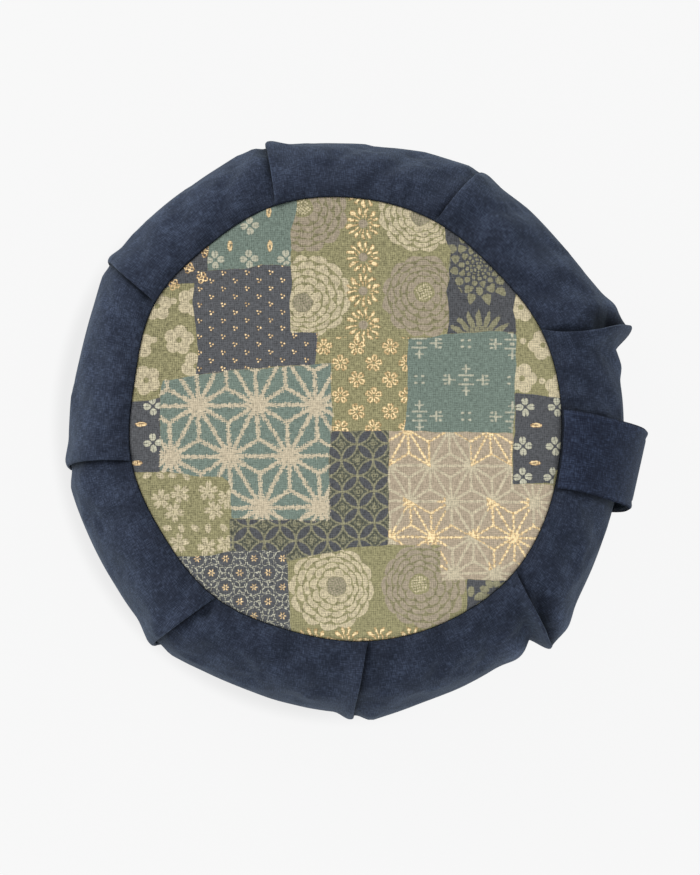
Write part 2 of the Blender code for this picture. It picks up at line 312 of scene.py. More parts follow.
def bandRow(phi):
    out = reachOut(phi)
    row = []
    for i, fold in enumerate(folds):
        following = folds[(i + 1) % len(folds)]
        start, end = edgeAngle(fold, out), edgeAngle(following, out)
        end += 360 if end < start else 0
        r = seamRadius(start) * (1 - out) + fold.midR * out
        arc = math.radians(end - start) * r
        first, last = band["afterNose"][-1], band["beforeNose"][0]
        count = round((following.seamDeg - fold.seamDeg) % 360 / band["betweenDegrees"])
        places = list(band["afterNose"])
        places += [first + (arc - first - last) * k / count for k in range(1, count)]
        flap = lipStep(following, out, phi)[2]
        back = max(flap / 2 - 0.3, 0.0) * smooth(out / band["tuckFrom"])  # clear of the round nose
        places += [arc - before - back * (1 - before / last) for before in band["beforeNose"]]
        for place in places:
            u = place / arc
            dip = dipDepth(fold, out, place)
            offset = topHeight(following, out, arc - place) - dip
            # painted shade beside the lip, in the dip and in a deep hollow, and a painted highlight by the
            # next lip's edge
            light = 1 - band["lipShade"] * math.exp(-place / (band["lipReachSeam"] + band["lipReach"] * out))
            light *= 1 - band["dipShade"] * dip
            light *= 1 + band["edgeLight"] * math.exp(-(arc - place) / band["edgeReach"])
            light *= 1 - (band["hollowShade"] * fold.hollow**2 * smooth((out - 0.62) / 0.1)
                          * (1 - smooth((place - 6) / (fold.dipWidth - 4))))
            row.append((mix(start, end, u), betweenR(fold, following, u), offset, light))
        row += list(foldColumns(following, end, phi))
    return row


def crownZ(share):
    return panel["crown"] * (1 - share ** panel["power"])


def baseZ(share):
    past = max(share - base["flatShare"], 0.0) / (1 - base["flatShare"])
    return base["lift"] * past * past


# smaller creases and hollows on the side that shows: the place seen from above, which way each
# runs, half its length and width, and how far it stands out, in mm
Crease = namedtuple("Crease", "x y turn long wide rise")
creases = [
    Crease(-91, -127, 30, 5.5, 2.8, -3.4),
    Crease(-85, -131, -63, 9.0, 2.2, 1.7),
    Crease(20, -162, 80, 10.0, 7.0, -2.2),
    Crease(122, -111, 0, 7.0, 2.2, 1.1),
    Crease(128, -119, -35, 9.0, 5.5, -2.6),
    Crease(118, -136, -55, 13.0, 6.0, -2.4),
    Crease(-130, 80, -38, 5.0, 3.0, -1.8),
    Crease(148, 10, -15, 11.0, 3.5, -1.8),
    Crease(177, 50, -60, 8.0, 2.6, 1.3),
    Crease(172, 66, 5, 10.0, 6.0, -2.0),
    Crease(94, 117, 51, 15.0, 4.5, -0.9),
    Crease(-60, 148, 112, 13.0, 4.5, -0.8),
    Crease(-152, -20, 187, 13.0, 5.0, -0.9),
    Crease(-36, -152, 256, 13.0, 5.0, -0.9),
    Crease(60, -146, 293, 12.0, 5.0, -0.8),
    Crease(176, 79, -60, 7.0, 5.0, 2.4),
    Crease(181, 39, 78, 7.0, 6.0, 1.8),
    Crease(113, -151, 35, 10.0, 9.0, 3.6),
    Crease(144, -131, 50, 10.0, 8.0, 2.8),
    Crease(-55, 180, 0, 4.0, 3.0, -2.4),
    Crease(120, -139, 62, 7.0, 2.2, 1.5),
]


def creaseRelief(spots):
    rise = np.zeros(spots.shape[:2])
    for crease in creases:
        c, s = math.cos(math.radians(crease.turn)), math.sin(math.radians(crease.turn))
        x, y = spots[..., 0] - crease.x, spots[..., 1] - crease.y
        u, v = (x * c + y * s) / crease.long, (y * c - x * s) / crease.wide
        rise += crease.rise * np.exp(-(u * u + v * v))
    return rise


# the cloth simulation: a plain ring of the band's cloth, a little too long, filled until it is tight
settling = {"columns": 180, "rows": 28, "slackShare": -0.05, "pressure": 4.0, "steps": 20, "capMm": 4.0,
            "share": 0.8}


def settleBand():
    # how far the filled cloth stands out or in, in mm, by row from the top seam and by angle
    columns, rows = settling["columns"], settling["rows"]
    start, outward = [], []
    for k in range(rows):
        phi = math.pi / 2 * (1 - 2 * k / (rows - 1))
        for i in range(columns):
            a = 2 * math.pi * i / columns
            uneven = 0.5 * math.sin(11 * a + 3 * phi) + 0.4 * math.sin(29 * a - 5 * phi + 1)
            start.append(bandPoint(math.degrees(a), 190.0, phi, uneven * reachOut(phi)))
            outward.append((math.cos(phi) * math.cos(a), math.cos(phi) * math.sin(a), math.sin(phi)))
    last = (rows - 1) * columns
    faces = [tuple(range(columns)), tuple(range(last + columns - 1, last - 1, -1))]
    for k in range(rows - 1):
        a, b = k * columns, (k + 1) * columns
        faces += [(a + i, b + i, b + (i + 1) % columns, a + (i + 1) % columns) for i in range(columns)]
    ring = makePiece("settlingBand", start, faces)
    seams = ring.vertex_groups.new(name="seams")
    seams.add(list(range(columns)) + list(range(last, last + columns)), 1.0, "REPLACE")
    cloth = ring.modifiers.new("cloth", "CLOTH").settings
    cloth.vertex_group_mass = "seams"
    cloth.use_pressure = True
    cloth.uniform_pressure_force = settling["pressure"]
    cloth.shrink_min = settling["slackShare"]
    cloth.effector_weights.gravity = 0
    for step in range(1, settling["steps"] + 1):
        bpy.context.scene.frame_set(step)
    settled = ring.evaluated_get(bpy.context.evaluated_depsgraph_get()).data
    places = np.zeros(3 * len(settled.vertices))
    settled.vertices.foreach_get("co", places)
    moved = ((places.reshape(-1, 3) / mm - np.array(start)) * np.array(outward)).sum(axis=1)
    mesh = ring.data
    bpy.data.objects.remove(ring)
    bpy.data.meshes.remove(mesh)
    bpy.context.scene.frame_set(1)
    moved = moved.reshape(rows, columns)
    print("cloth settled:", round(float(moved.min()), 1), "to", round(float(moved.max()), 1), "mm")
    moved -= moved.mean(axis=1, keepdims=True)
    print("uneven by", round(float(moved.std()), 2), "mm, at most", round(float(np.abs(moved).max()), 1))
    return np.clip(moved, -settling["capMm"], settling["capMm"])


settled = settleBand()


def settledAt(turn, phi):
    # the settled cloth between its own rows and columns
    columns, rows = settling["columns"], settling["rows"]
    u = (turn / (2 * math.pi) * columns) % columns
    v = np.clip((0.5 - phi / math.pi) * (rows - 1), 0, rows - 1.001)
    i, k = u.astype(int), v.astype(int)
    u, v, i = u - i, v - k, i % columns
    j = (i + 1) % columns
    above = settled[k, i] * (1 - u) + settled[k, j] * u
    below = settled[k + 1, i] * (1 - u) + settled[k + 1, j] * u
    return above * (1 - v) + below * v


def clothRelief(around, turn, phi, toSeam):
    # the fine gathers, which die away from both seams, over the settled cloth
    drift = band["gatherDrift"] * np.sin(2 * math.pi * around / band["driftLength"])
    wave = 2 * math.pi * around / band["gatherLength"] + drift
    gathers = band["gather"] * np.sin(wave) * np.exp(-toSeam / band["gatherReach"])
    return (gathers + settling["share"] * settledAt(turn, phi)) * (1 - np.exp(-toSeam / 1.5))


def buildBand():
    points, place = [], []
    rows = band["rows"]
    for k in range(rows):
        t = 1 - 2 * k / (rows - 1)
        phi = math.pi / 2 * math.copysign(1 - (1 - abs(t)) ** band["rowCrowding"], t)  # finer at the seams
        row = bandRow(phi)
        for degrees, outerR, offset, light in row:
            points.append(bandPoint(degrees, outerR, phi, offset))
            place.append((degrees, math.degrees(phi), light))
    count = len(row)
    bandPoints = np.array(points).reshape(rows, count, 3)
    # cloth coordinates in millimetres: round the band, and down it
    down = np.zeros((rows, count))
    down[1:] = np.cumsum(np.linalg.norm(np.diff(bandPoints, axis=0), axis=2), axis=0)
    turn = np.radians([p[0] for p in place]).reshape(rows, count)
    phi = np.radians([p[1] for p in place]).reshape(rows, count)
    around = turn * band["meanR"]
    toSeam = np.minimum(down, down[-1] - down)
    creased = creaseRelief(bandPoints) * np.where(phi > 0, 1.0, np.exp(-((phi / 0.4) ** 2)))
    rise = clothRelief(around, turn, phi, toSeam) + creased
    rise *= np.clip(bandPoints[..., 2] / band["floorFade"], 0, 1)
    # painted shade in hollow creases and painted highlight on raised ones, then painted shade near both seams
    light = np.array([p[2] for p in place]).reshape(rows, count) * np.exp(band["creaseShade"] * creased)
    light *= 1 - band["seamShade"] * np.exp(-toSeam / band["seamReach"])
    outward = np.stack([np.cos(phi) * np.cos(turn), np.cos(phi) * np.sin(turn), np.sin(phi)], axis=2)
    bandPoints += outward * rise[..., None]
    bandPoints[..., 2] = np.maximum(bandPoints[..., 2], band["floorZ"])  # the tips lie on the floor
    cloth = np.stack([around, down, np.zeros_like(down)], axis=2)
    # the flat covers under the two panels close it
    top, under = [], []
    hidden = panel["thick"] + panel["gap"]
    for share in band["coverShares"]:
        topZ, underZ = band["seamZ"] - hidden + crownZ(share), hidden + baseZ(share)
        top.append([(x * share, y * share, topZ) for x, y, z in bandPoints[0]])
        under.insert(0, [(x * share, y * share, underZ) for x, y, z in bandPoints[-1]])
    rings = top + list(bandPoints) + under
    middles = [[(0, 0, band["seamZ"] - hidden + panel["crown"])], [(0, 0, hidden)]]
    allPoints = np.concatenate(middles[:1] + rings + middles[1:])
    flat = np.zeros((1 + len(top) * count, 3))
    clothPlace = np.concatenate([flat, cloth.reshape(-1, 3), flat])
    faces = []
    end, lastPoint = 1 + (len(rings) - 1) * count, len(allPoints) - 1
    for i in range(count):
        j = (i + 1) % count
        faces += [(0, 1 + i, 1 + j), (lastPoint, end + j, end + i)]
    for row in range(len(rings) - 1):
        a, b = 1 + row * count, 1 + (row + 1) * count
        faces += [(a + i, b + i, b + (i + 1) % count, a + (i + 1) % count) for i in range(count)]
    edge = flat[:, 0]
    toSeam = np.concatenate([edge, toSeam.ravel(), edge])
    light = np.concatenate([edge + 1, light.ravel(), edge + 1])
    return makePiece("pleatedBand", allPoints, faces,
                     {"clothPlace": clothPlace, "toSeam": toSeam, "paintedLight": light})


pleatedBand = buildBand()
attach(pleatedBand, "root")
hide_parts("cushion_body")
print("pleated band:", len(pleatedBand.data.vertices), "points")


def discMesh(rings, heightOf, underOf):
    points = [(0, 0, heightOf(0.0))]
    for k in range(1, rings + 1):
        share = k / rings
        for i in range(6 * k):
            degrees = 60 * i / k
            r = (seamRadius(degrees) - panel["inset"]) * share
            a = math.radians(degrees)
            points.append((r * math.cos(a), r * math.sin(a), heightOf(share)))
    faces = []

    def at(k, i):
        return 0 if k == 0 else 1 + 3 * k * (k - 1) + i % (6 * k)

    for k in range(1, rings + 1):
        for s in range(6):
            for i in range(k):
                faces.append((at(k, s * k + i), at(k, s * k + i + 1), at(k - 1, s * (k - 1) + i)))
                if i < k - 1:
                    faces.append((at(k - 1, s * (k - 1) + i), at(k, s * k + i + 1),
                                  at(k - 1, s * (k - 1) + i + 1)))
    # the turned edge and the hidden side
    count = 6 * rings
    outer = 1 + 3 * rings * (rings - 1)
    for share in panel["underShares"]:
        first = len(points)
        for i in range(count):
            degrees = 360 * i / count
            r = (seamRadius(degrees) - panel["inset"]) * share
            a = math.radians(degrees)
            points.append((r * math.cos(a), r * math.sin(a), underOf(share)))
        for i in range(count):
            j = (i + 1) % count
            faces.append((outer + j, outer + i, first + i, first + j))
        outer = first
    points.append((0, 0, underOf(0.0)))
    faces += [(outer + (i + 1) % count, outer + i, len(points) - 1) for i in range(count)]
    return points, faces


def panelTop(share):
    edge = max(share - panel["edgeShare"], 0) / (1 - panel["edgeShare"])  # it turns down into the seam
    return band["seamZ"] + crownZ(share) - panel["edgeDrop"] * edge * edge


def panelUnder(share):
    return band["seamZ"] - panel["thick"] + crownZ(share)


def baseTop(share):
    return panel["thick"] + baseZ(share)


topPoints, topFaces = discMesh(panel["rings"], panelTop, panelUnder)
basePoints, baseFaces = discMesh(base["rings"], baseTop, baseZ)
topPoints = np.array(topPoints)
print("discs:", len(topPoints), len(basePoints), "points")

clothX, clothY = topPoints[:, 0], topPoints[:, 1]


# how far the patches' edges and the stars' lines wander, in mm
wander = {"patch": 0.22, "star": 0.12}
blank = np.full(len(clothX), -9.0)  # a field with nothing in it


def wobble(x, y, size, turn):
    return size * (np.sin(0.21 * x + 0.13 * y + turn) + np.sin(-0.11 * x + 0.27 * y + 2.1 * turn)
                   + 0.6 * np.sin(0.47 * x - 0.39 * y + 3.7 * turn))


def patchField(corners):
    # signed distance in mm to a patch's edge, positive inside
    x = clothX + wobble(clothX, clothY, wander["patch"], 1.0)
    y = clothY + wobble(clothX, clothY, wander["patch"], 2.3)
    nearest = np.full(len(x), 1e9)
    inside = np.zeros(len(x), dtype=bool)
    for (x0, y0), (x1, y1) in zip(corners, corners[1:] + corners[:1]):
        dx, dy = x1 - x0, y1 - y0
        t = np.clip(((x - x0) * dx + (y - y0) * dy) / (dx * dx + dy * dy), 0, 1)
        nearest = np.minimum(nearest, np.hypot(x - x0 - t * dx, y - y0 - t * dy))
        if y0 != y1:
            inside ^= ((y0 > y) != (y1 > y)) & (x < x0 + (y - y0) * dx / dy)
    return np.where(inside, nearest, -nearest)


def disc(cx, cy, r):
    return r - np.hypot(clothX - cx, clothY - cy)


def petal(cx, cy, turn, reach, long, wide):
    c, s = math.cos(math.radians(turn)), math.sin(math.radians(turn))
    u = (clothX - cx) * c + (clothY - cy) * s - reach
    v = (clothY - cy) * c - (clothX - cx) * s
    return (1 - np.hypot(u / long, v / wide)) * min(long, wide)


def fromNearest(place, start, pitch):
    # how far it is to the nearest of a row of marks
    return np.abs((place - start + pitch / 2) % pitch - pitch / 2)


def either(*fields):
    return np.maximum.reduce(fields)


def both(*fields):
    return np.minimum.reduce(fields)


# patches, laid one over another on the olive ground: dye, shade against its usual, corners in mm
patches = {
    "tealTopLeft": ("teal", 0.15, [
        (-90.5, 121), (-81.5, 130), (-56.5, 144.5), (-32.5, 151.5), (-32, 142.5), (-36, 123.5),
        (-36, 99.5), (-55, 101), (-66, 99), (-90.5, 97.5)]),
    "smallCharcoal": ("charcoal", 0.1, [
        (-122, 85), (-129, 98.5), (-91, 130), (-90.5, 118), (-90.5, 97.5), (-99, 97), (-99, 89.5),
        (-113.5, 88.5)]),
    "dotted": ("charcoal", 0.7, [
        (-99, 97.5), (-90.5, 97.5), (-66, 99), (-55, 101), (-36, 100), (-35.5, 90.5), (-36.5, 77.5),
        (-36.5, 64), (-35.5, 55.5), (-19, 55.5), (-19, 44), (-20, 34), (-49.5, 33), (-76, 31),
        (-85.5, 28), (-98, 28), (-97, 48), (-100.5, 78), (-100, 89.5)]),
    "dahliaGround": ("charcoal", -0.15, [
        (64.5, 138), (64.5, 128), (65.5, 118), (68.5, 111), (67.5, 101), (68, 91), (65.5, 84),
        (67.5, 71), (66, 54.5), (111.5, 55), (111.5, 65), (110, 71.5), (111.5, 85), (104.5, 111.5),
        (81.5, 134.5)]),
    "kasuri": ("teal", 0.0, [
        (40.5, 52), (55, 53), (64.5, 54.5), (74.5, 55.5), (101, 57.5), (111.5, 56), (110.5, 12),
        (109, -10), (38, -10.5), (40, 11)]),
    "paleStars": ("taupe", 0.0, [
        (28, -9), (109, -10), (108.5, -43), (135.5, -43.5), (135.5, -53), (153, -53), (140, -92.5),
        (113.5, -106), (62, -106), (61.5, -83), (27.5, -83.5), (28, -54), (26.5, -38), (28, -28)]),
    "rightCharcoal": ("charcoal", 0.15, [
        (110.5, 16.5), (120.5, 16), (130.5, 15), (150, 13), (150, -33.5), (137.5, -33.5),
        (135.5, -42.5), (108.5, -43), (109.5, -27.5), (109, -14.5), (110.5, -9)]),
    "rightSliver": ("olive", 0.0, [
        (135.5, -42.5), (137.5, -33.5), (150, -33.5), (150, -46.5), (137.5, -52), (135.5, -51)]),
    "leftCharcoal": ("charcoal", 0.5, [
        (-154.5, 11), (-145, 11), (-128.5, 12), (-121, 14), (-121, -35), (-154.5, -35)]),
    "boldStars": ("teal", 0.35, [
        (-120, 24.5), (-95.5, 28), (-76, 31), (-30, 33.5), (-10, 35.5), (-9, -2), (-11, -34.5),
        (-11, -67), (-49.5, -67), (-74.5, -65.5), (-75.5, -47.5), (-77, -41.5), (-81, -39),
        (-95.5, -38.5), (-105, -36.5), (-121.5, -34.5), (-121.5, 14)]),
    "rings": ("charcoal", 0.1, [
        (-10, -9), (28, -9), (27.5, -83.5), (7, -84.5), (-17, -89), (-30, -91.5), (-38, -93),
        (-39, -88), (-75.5, -86.5), (-75.5, -66), (-49.5, -67), (-11, -67), (-11, -34.5)]),
    "netting": ("charcoal", 0.5, [
        (-128, -90.5), (-106.5, -90.5), (-85.5, -89.5), (-75.5, -86.5), (-39, -87), (-38, -102.5),
        (-37, -119), (-35, -151.5), (-128, -151.5)]),
    "lowSliver": ("charcoal", 0.0, [
        (79, -105.5), (105, -106), (120, -106), (107, -131.5), (79, -138)]),
}
areas = {name: patchField(corners) for name, (dye, shade, corners) in patches.items()}
ground = {dye: blank for dye in ("teal", "charcoal", "taupe")}
shadeOf = np.zeros(len(clothX))
names = list(patches)
seen = {}  # what shows of each patch below the ones laid over it
for i, (name, (dye, shade, corners)) in enumerate(patches.items()):
    seen[name] = both(areas[name], *[-areas[above] for above in names[i + 1:]])
    shadeOf = np.where(seen[name] > 0, shade, shadeOf)
    if dye != "olive":
        ground[dye] = either(ground[dye], seen[name])
olive = -either(*ground.values())  # what the patches leave of the olive ground
seen["openOlive"] = olive
for name, part in (("leftOlive", (clothX < -80) & (clothY > 0)), ("rightOlive", (clothX > 95) & (clothY > 0)),
                   ("lowOlive", (clothX < -70) & (clothY < -20))):
    seen[name] = np.where(part, olive, both(olive, blank))

marks = {dye: blank for dye in ("cream", "olive", "gold", "pale", "stars", "moss", "taupe", "grey")}


def stamp(dye, field, *within):
    for name in within:
        marks[dye] = either(marks[dye], both(field, seen[name]))


# the larger flowers, whose petals the linen's own nodes draw: the kind, its middle, its turn in
# degrees, the radius, and how far its outer rings are shifted from its middle, in mm
Flower = namedtuple("Flower", "kind x y turn radius leanX leanY within")
kinds = ("cream", "taupe", "cherry", "clover", "dahlia", "daisy")
flowers = [
    Flower("cream", -29.4, 74.0, 20, 27.0, 4.8, 6.0, "openOlive"),
    Flower("cream", 49.6, 133.0, 80, 26.5, -0.8, 3.9, "openOlive"),
    Flower("cream", -5.3, -109.6, 120, 27.0, -4.1, -1.4, "openOlive"),
    Flower("taupe", -28.8, 140.0, 50, 27.0, 2.0, -3.0, "openOlive"),
    Flower("taupe", 51.2, 83.4, 110, 27.0, 0.0, -3.3, "openOlive"),
    Flower("taupe", 46.8, -108.4, 5, 28.5, 3.9, -1.2, "openOlive"),
    Flower("dahlia", 87.2, 100.0, 12, 24.0, 0, 0, "dahliaGround"),
    Flower("daisy", 87.6, 48.0, 2, 24.0, 0, 0, "dahliaGround"),
]
flowers += [
    Flower("cherry", x, y, 90 + 23 * k, 7.6, 0, 0, "lowOlive")
    for k, (x, y) in enumerate((
        (-120.8, -52.8), (-108.4, -49.6), (-112.4, -61.2), (-90.0, -48.0), (-86.0, -60.4),
        (-78.2, -53.2), (-109.2, -81.6), (-90.8, -84.2), (-78.8, -83.0)))
]
flowers += [
    Flower("clover", x, y, 4, 6.2, 0, 0,
           "tealTopLeft" if y > 90 else "leftCharcoal" if x < 0 else "rightCharcoal")
    for x, y in (
        (-63.2, 127.4), (-39.4, 128.4), (-86.0, 104.8), (-63.6, 105.0), (-39.2, 104.8), (-126.4, 8.2),
        (-126.2, -16.0), (117.2, 7.4), (138.2, 7.8), (115.6, -18.2), (136.8, -18.0), (115.6, -38.4),
        (135.4, -38.2))
]
nearest = np.full(len(clothX), 1e9)
flowerPlace = np.zeros((len(clothX), 3))
flowerArea = blank.copy()
for flower in flowers:
    qx, qy = clothX - flower.x, clothY - flower.y
    across = flower.leanX**2 + flower.leanY**2
    along = qx * flower.leanX + qy * flower.leanY
    spare = flower.radius**2 - across
    share = (np.sqrt(along**2 + spare * (qx**2 + qy**2)) - along) / spare
    u, v = qx - share * flower.leanX, qy - share * flower.leanY
    c, s = math.cos(math.radians(flower.turn)), math.sin(math.radians(flower.turn))
    closer = np.hypot(u, v) - flower.radius < nearest
    nearest = np.where(closer, np.hypot(u, v) - flower.radius, nearest)
    place = np.stack([u * c + v * s, v * c - u * s, np.hypot(u, v) + 100 * kinds.index(flower.kind)], axis=1)
    flowerPlace[closer] = place[closer]
    flowerArea[closer] = seen[flower.within][closer]

# the middles of the gold bursts down the middle and along the low edge
for cx, cy in ((11.2, 151.2), (11.2, 128.5), (11.2, 105.9), (11.2, 83.2), (11.2, 60.6),
               (-21.6, -147.4), (0.2, -147.4), (22.0, -147.4), (43.8, -147.4)):
    stamp("taupe", disc(cx, cy, 2.9), "openOlive")

# slit leaves in gold, upright on the teal and level on the charcoal: how long and wide each is, then
# its slit, and small blossoms of four loops
leaves = (
    (90, 3.7, 1.65, 0.2, 1.6, 0.5, ("tealTopLeft",), ((-76.2, 114.0), (-50.0, 113.6), (-50.8, 136.8))),
    (0, 3.6, 1.5, 0.0, 1.7, 0.4, ("leftCharcoal", "rightCharcoal"),
     ((-134.2, -3.6), (-136.8, -29.0), (124.4, -4.4), (123.6, -29.2))),
)
for turn, long, wide, aside, slitLong, slitWide, within, places in leaves:
    for cx, cy in places:
        slit = petal(cx + aside, cy, turn, 0, slitLong, slitWide)
        stamp("gold", both(petal(cx, cy, turn, 0, long, wide), -slit), *within)
loops = {"apart": 2.3, "radius": 1.3, "line": 0.4, "turn": 1.2}
for cx, cy in ((-92.0, 110.2), (-103.2, 99.6), (-94.4, 92.8), (-113.0, 88.4)):
    for i in range(4):
        a = loops["turn"] + 1.57 * i
        loop = disc(cx + loops["apart"] * math.cos(a), cy + loops["apart"] * math.sin(a), loops["radius"])
        stamp("gold", loops["line"] - np.abs(loop), "smallCharcoal", "dotted", "leftOlive")

# plum blossoms and buds on the olive at the left and the right: the middle and turn of each
plum = {"middle": 5.5, "petal": 4.4, "reach": 5.6, "eye": 1.9}
plums = {
    "leftOlive": ((-109.4, 51.6, 10), (-131.0, 25.4, 40), (-101.0, 76.8, 0), (-124.0, 74.4, 20),
                  (-98.0, 34.0, 50), (-136.4, 48.8, 30)),
    "rightOlive": ((114.8, 73.6, 10), (129.2, 48.6, 40), (115.2, 26.4, 0), (140.2, 20.4, 20)),
}
for within, places in plums.items():
    for cx, cy, turn in places:
        petals = [petal(cx, cy, turn + 72 * i, plum["reach"], plum["petal"], plum["petal"]) for i in range(5)]
        whole = either(disc(cx, cy, plum["middle"]), *petals)
        stamp("cream", both(whole, -disc(cx, cy, plum["eye"])), within)
for cx, cy, r in ((-113.2, 77.6, 2.2), (-126.0, 52.0, 2.2), (116.0, 51.0, 2.1), (128.4, 24.8, 2.1)):
    stamp("cream", disc(cx, cy, r), "leftOlive" if cx < 0 else "rightOlive")

# parts of two flowers on the charcoal at the low edge
for i in range(9):
    stamp("olive", petal(97.0, -114.0, 40 * i, 7.0, 3.2, 2.2), "lowSliver")
    stamp("olive", petal(80.0, -122.0, 40 * i, 9.0, 3.6, 2.2), "lowSliver")

# kasuri crosses: bars, pluses and four dots, on a stepped lattice
kasuri = {"x": 78.4, "y": 24.8, "pitchX": 61.0, "pitchY": 48.0}
kasuriBars = (  # across and up from the middle, half as wide, half as high
    (0, 2.95, 5.2, 0.55), (0, 0, 1.7, 0.95), (0, 7.4, 0.65, 3.0), (0, 7.2, 2.9, 0.5), (11.0, 0, 4.4, 0.5),
    (11.0, 0, 0.65, 3.6), (13.6, 2.6, 1.1, 0.7), (28.2, 2.2, 1.1, 0.7),
)
for shift in (0.0, 0.5):
    u = fromNearest(clothX, kasuri["x"] - shift * kasuri["pitchX"], kasuri["pitchX"])
    v = fromNearest(clothY, kasuri["y"] - shift * kasuri["pitchY"], kasuri["pitchY"])
    bars = [both(wide - np.abs(u - cx), high - np.abs(v - cy)) for cx, cy, wide, high in kasuriBars]
    stamp("grey", either(*bars), "kasuri")


# hemp-leaf stars: a hub, the pitch, the lean of the columns, and half the width of line and hub
boldStar = {"x": -58.2, "y": 8.0, "pitch": 38.6, "slant": -0.045, "line": 1.1, "hub": 4.2,
            "swell": 0.55, "swellReach": 10.0}
paleStar = {"x": 67.2, "y": -8.2, "pitch": 26.9, "slant": -0.03, "line": 0.85, "hub": 1.7,
            "dash": 0.68, "dashWave": 0.35, "dashPitch": 2.9, "dashSpill": 0.7}


def starLines(star):
    # distances to the nearest line and to the nearest hub, in a quarter of a cell
    pitch, high = star["pitch"], star["pitch"] * math.sqrt(3) / 2
    up = clothY - star["y"]
    x = clothX - star["x"] - star["slant"] * up + wobble(clothX, clothY, wander["star"], 4.0)
    y = up + wobble(clothX, clothY, wander["star"], 5.0)
    x, y = fromNearest(x, 0, pitch), fromNearest(y, 0, 2 * high)

    def line(x0, y0, x1, y1):
        dx, dy = x1 - x0, y1 - y0
        t = np.clip(((x - x0) * dx + (y - y0) * dy) / (dx * dx + dy * dy), 0, 1)
        return np.hypot(x - x0 - t * dx, y - y0 - t * dy)

    third = pitch / math.sqrt(3)
    return both(
        y, high - y, np.abs(x * math.sqrt(3) / 2 - y / 2), line(0, 0, pitch / 2, third / 2),
        line(0, 0, 0, third), line(0, third, pitch / 2, high), line(pitch / 2, third / 2, pitch / 2, high),
    ), both(np.hypot(x, y), np.hypot(x - pitch / 2, y - high))


lines, toHub = starLines(boldStar)
swell = boldStar["swell"] * np.exp(-((toHub / boldStar["swellReach"]) ** 2))
stamp("stars", either(boldStar["line"] + swell - lines, boldStar["hub"] - toHub), "boldStars")
lines, toHub = starLines(paleStar)
stamp("pale", either(paleStar["line"] - lines, paleStar["hub"] - toHub), "paleStars")
# some of the stars are gone over in broken gold lines
for cx, cy in ((51.6, -76.0), (106.4, -75.6), (40.4, -8.4), (94.8, -8.0)):
    u, v = clothX - cx - paleStar["slant"] * (clothY - cy), clothY - cy
    r, a = np.hypot(u, v), np.arctan2(v, u)
    a = (a + math.pi / 6) % (math.pi / 3) - math.pi / 6
    along, across = r * np.cos(a), np.abs(r * np.sin(a))
    inStar = np.where(along > paleStar["pitch"] / 2, (paleStar["pitch"] - along) / math.sqrt(3) - across, 9.0)
    dashes = paleStar["dash"] - lines + paleStar["dashWave"] * np.cos(2 * math.pi * r / paleStar["dashPitch"])
    stamp("gold", both(dashes, inStar + paleStar["dashSpill"]), "paleStars")

# fallen petals in two rows
for k, (cx, cy) in enumerate(((-130.0, -37.0), (-121.6, -37.2), (-113.0, -37.2), (-104.4, -38.0),
                              (-116.8, -71.6), (-107.6, -71.8), (-98.4, -71.8), (-90.0, -72.0),
                              (-79.6, -72.0))):
    turn = 25 + 130 * (k % 2) - 9 * k
    stamp("cream", both(petal(cx, cy, turn, 0, 3.1, 1.9), -petal(cx, cy, turn, 2.2, 1.6, 0.4)), "lowOlive")

# interlocking rings with a small diamond in each
linked = {"x": 7.4, "y": -28.0, "pitch": 20.6, "turn": -1.3, "line": 0.55, "diamond": 3.6}
c, s = math.cos(math.radians(linked["turn"])), math.sin(math.radians(linked["turn"]))
across, up, half = clothX - linked["x"], clothY - linked["y"], linked["pitch"] / 2
u = fromNearest(across * c - up * s, 0, linked["pitch"])
v = fromNearest(across * s + up * c, 0, linked["pitch"])
diamonds, lens = [], []
for x, y in ((u, v), (u - half, v - half)):
    x, y, r = np.abs(x), np.abs(y), np.hypot(x, y)
    lens.append(half - r)
    lobed = linked["diamond"] - 0.55 * (x + y) - 0.45 * r - 0.5 * np.abs(np.sin(2 * np.arctan2(y, x)))
    diamonds += [linked["line"] - np.abs(r - half), both(lobed, -either(0.55 - r, 0.4 - np.abs(r - 2.0)))]
stamp("moss", -both(*lens), "rings")
stamp("olive", either(*diamonds), "rings")

printAreas = {  # where the finest patterns lie, which the linen's own nodes draw
    "Dotted": seen["dotted"], "Netting": seen["netting"],
    "Blossoms": both(olive, 52.6 - clothY, clothX + 19.5, 41.5 - clothX, clothY + 11.0),
    "Bursts": both(olive, either(both(clothY - 49.5, 12.2 - np.abs(clothX - 11.2)),
                                 both(-110.0 - clothY, clothX + 33.0, 55.0 - clothX))),
}

printFields = {"clothPlace": np.stack([clothX, clothY, 0 * clothX], axis=1), "patchShade": shadeOf,
               "flowerPlace": flowerPlace, "flowerArea": flowerArea}
printFields.update({"ground" + dye.title(): field for dye, field in ground.items()})
printFields.update({"mark" + dye.title(): field for dye, field in marks.items()})
printFields.update({"area" + name: field for name, field in printAreas.items()})
topPanel = makePiece("printedPanel", topPoints, topFaces, printFields)
basePanel = makePiece("basePanel", basePoints, baseFaces,
                      {"clothPlace": [(p[0], p[1], 0) for p in basePoints]})
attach(topPanel, "root")
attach(basePanel, "root")
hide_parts("top_panel")
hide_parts("base_panel")
print("print drawn")


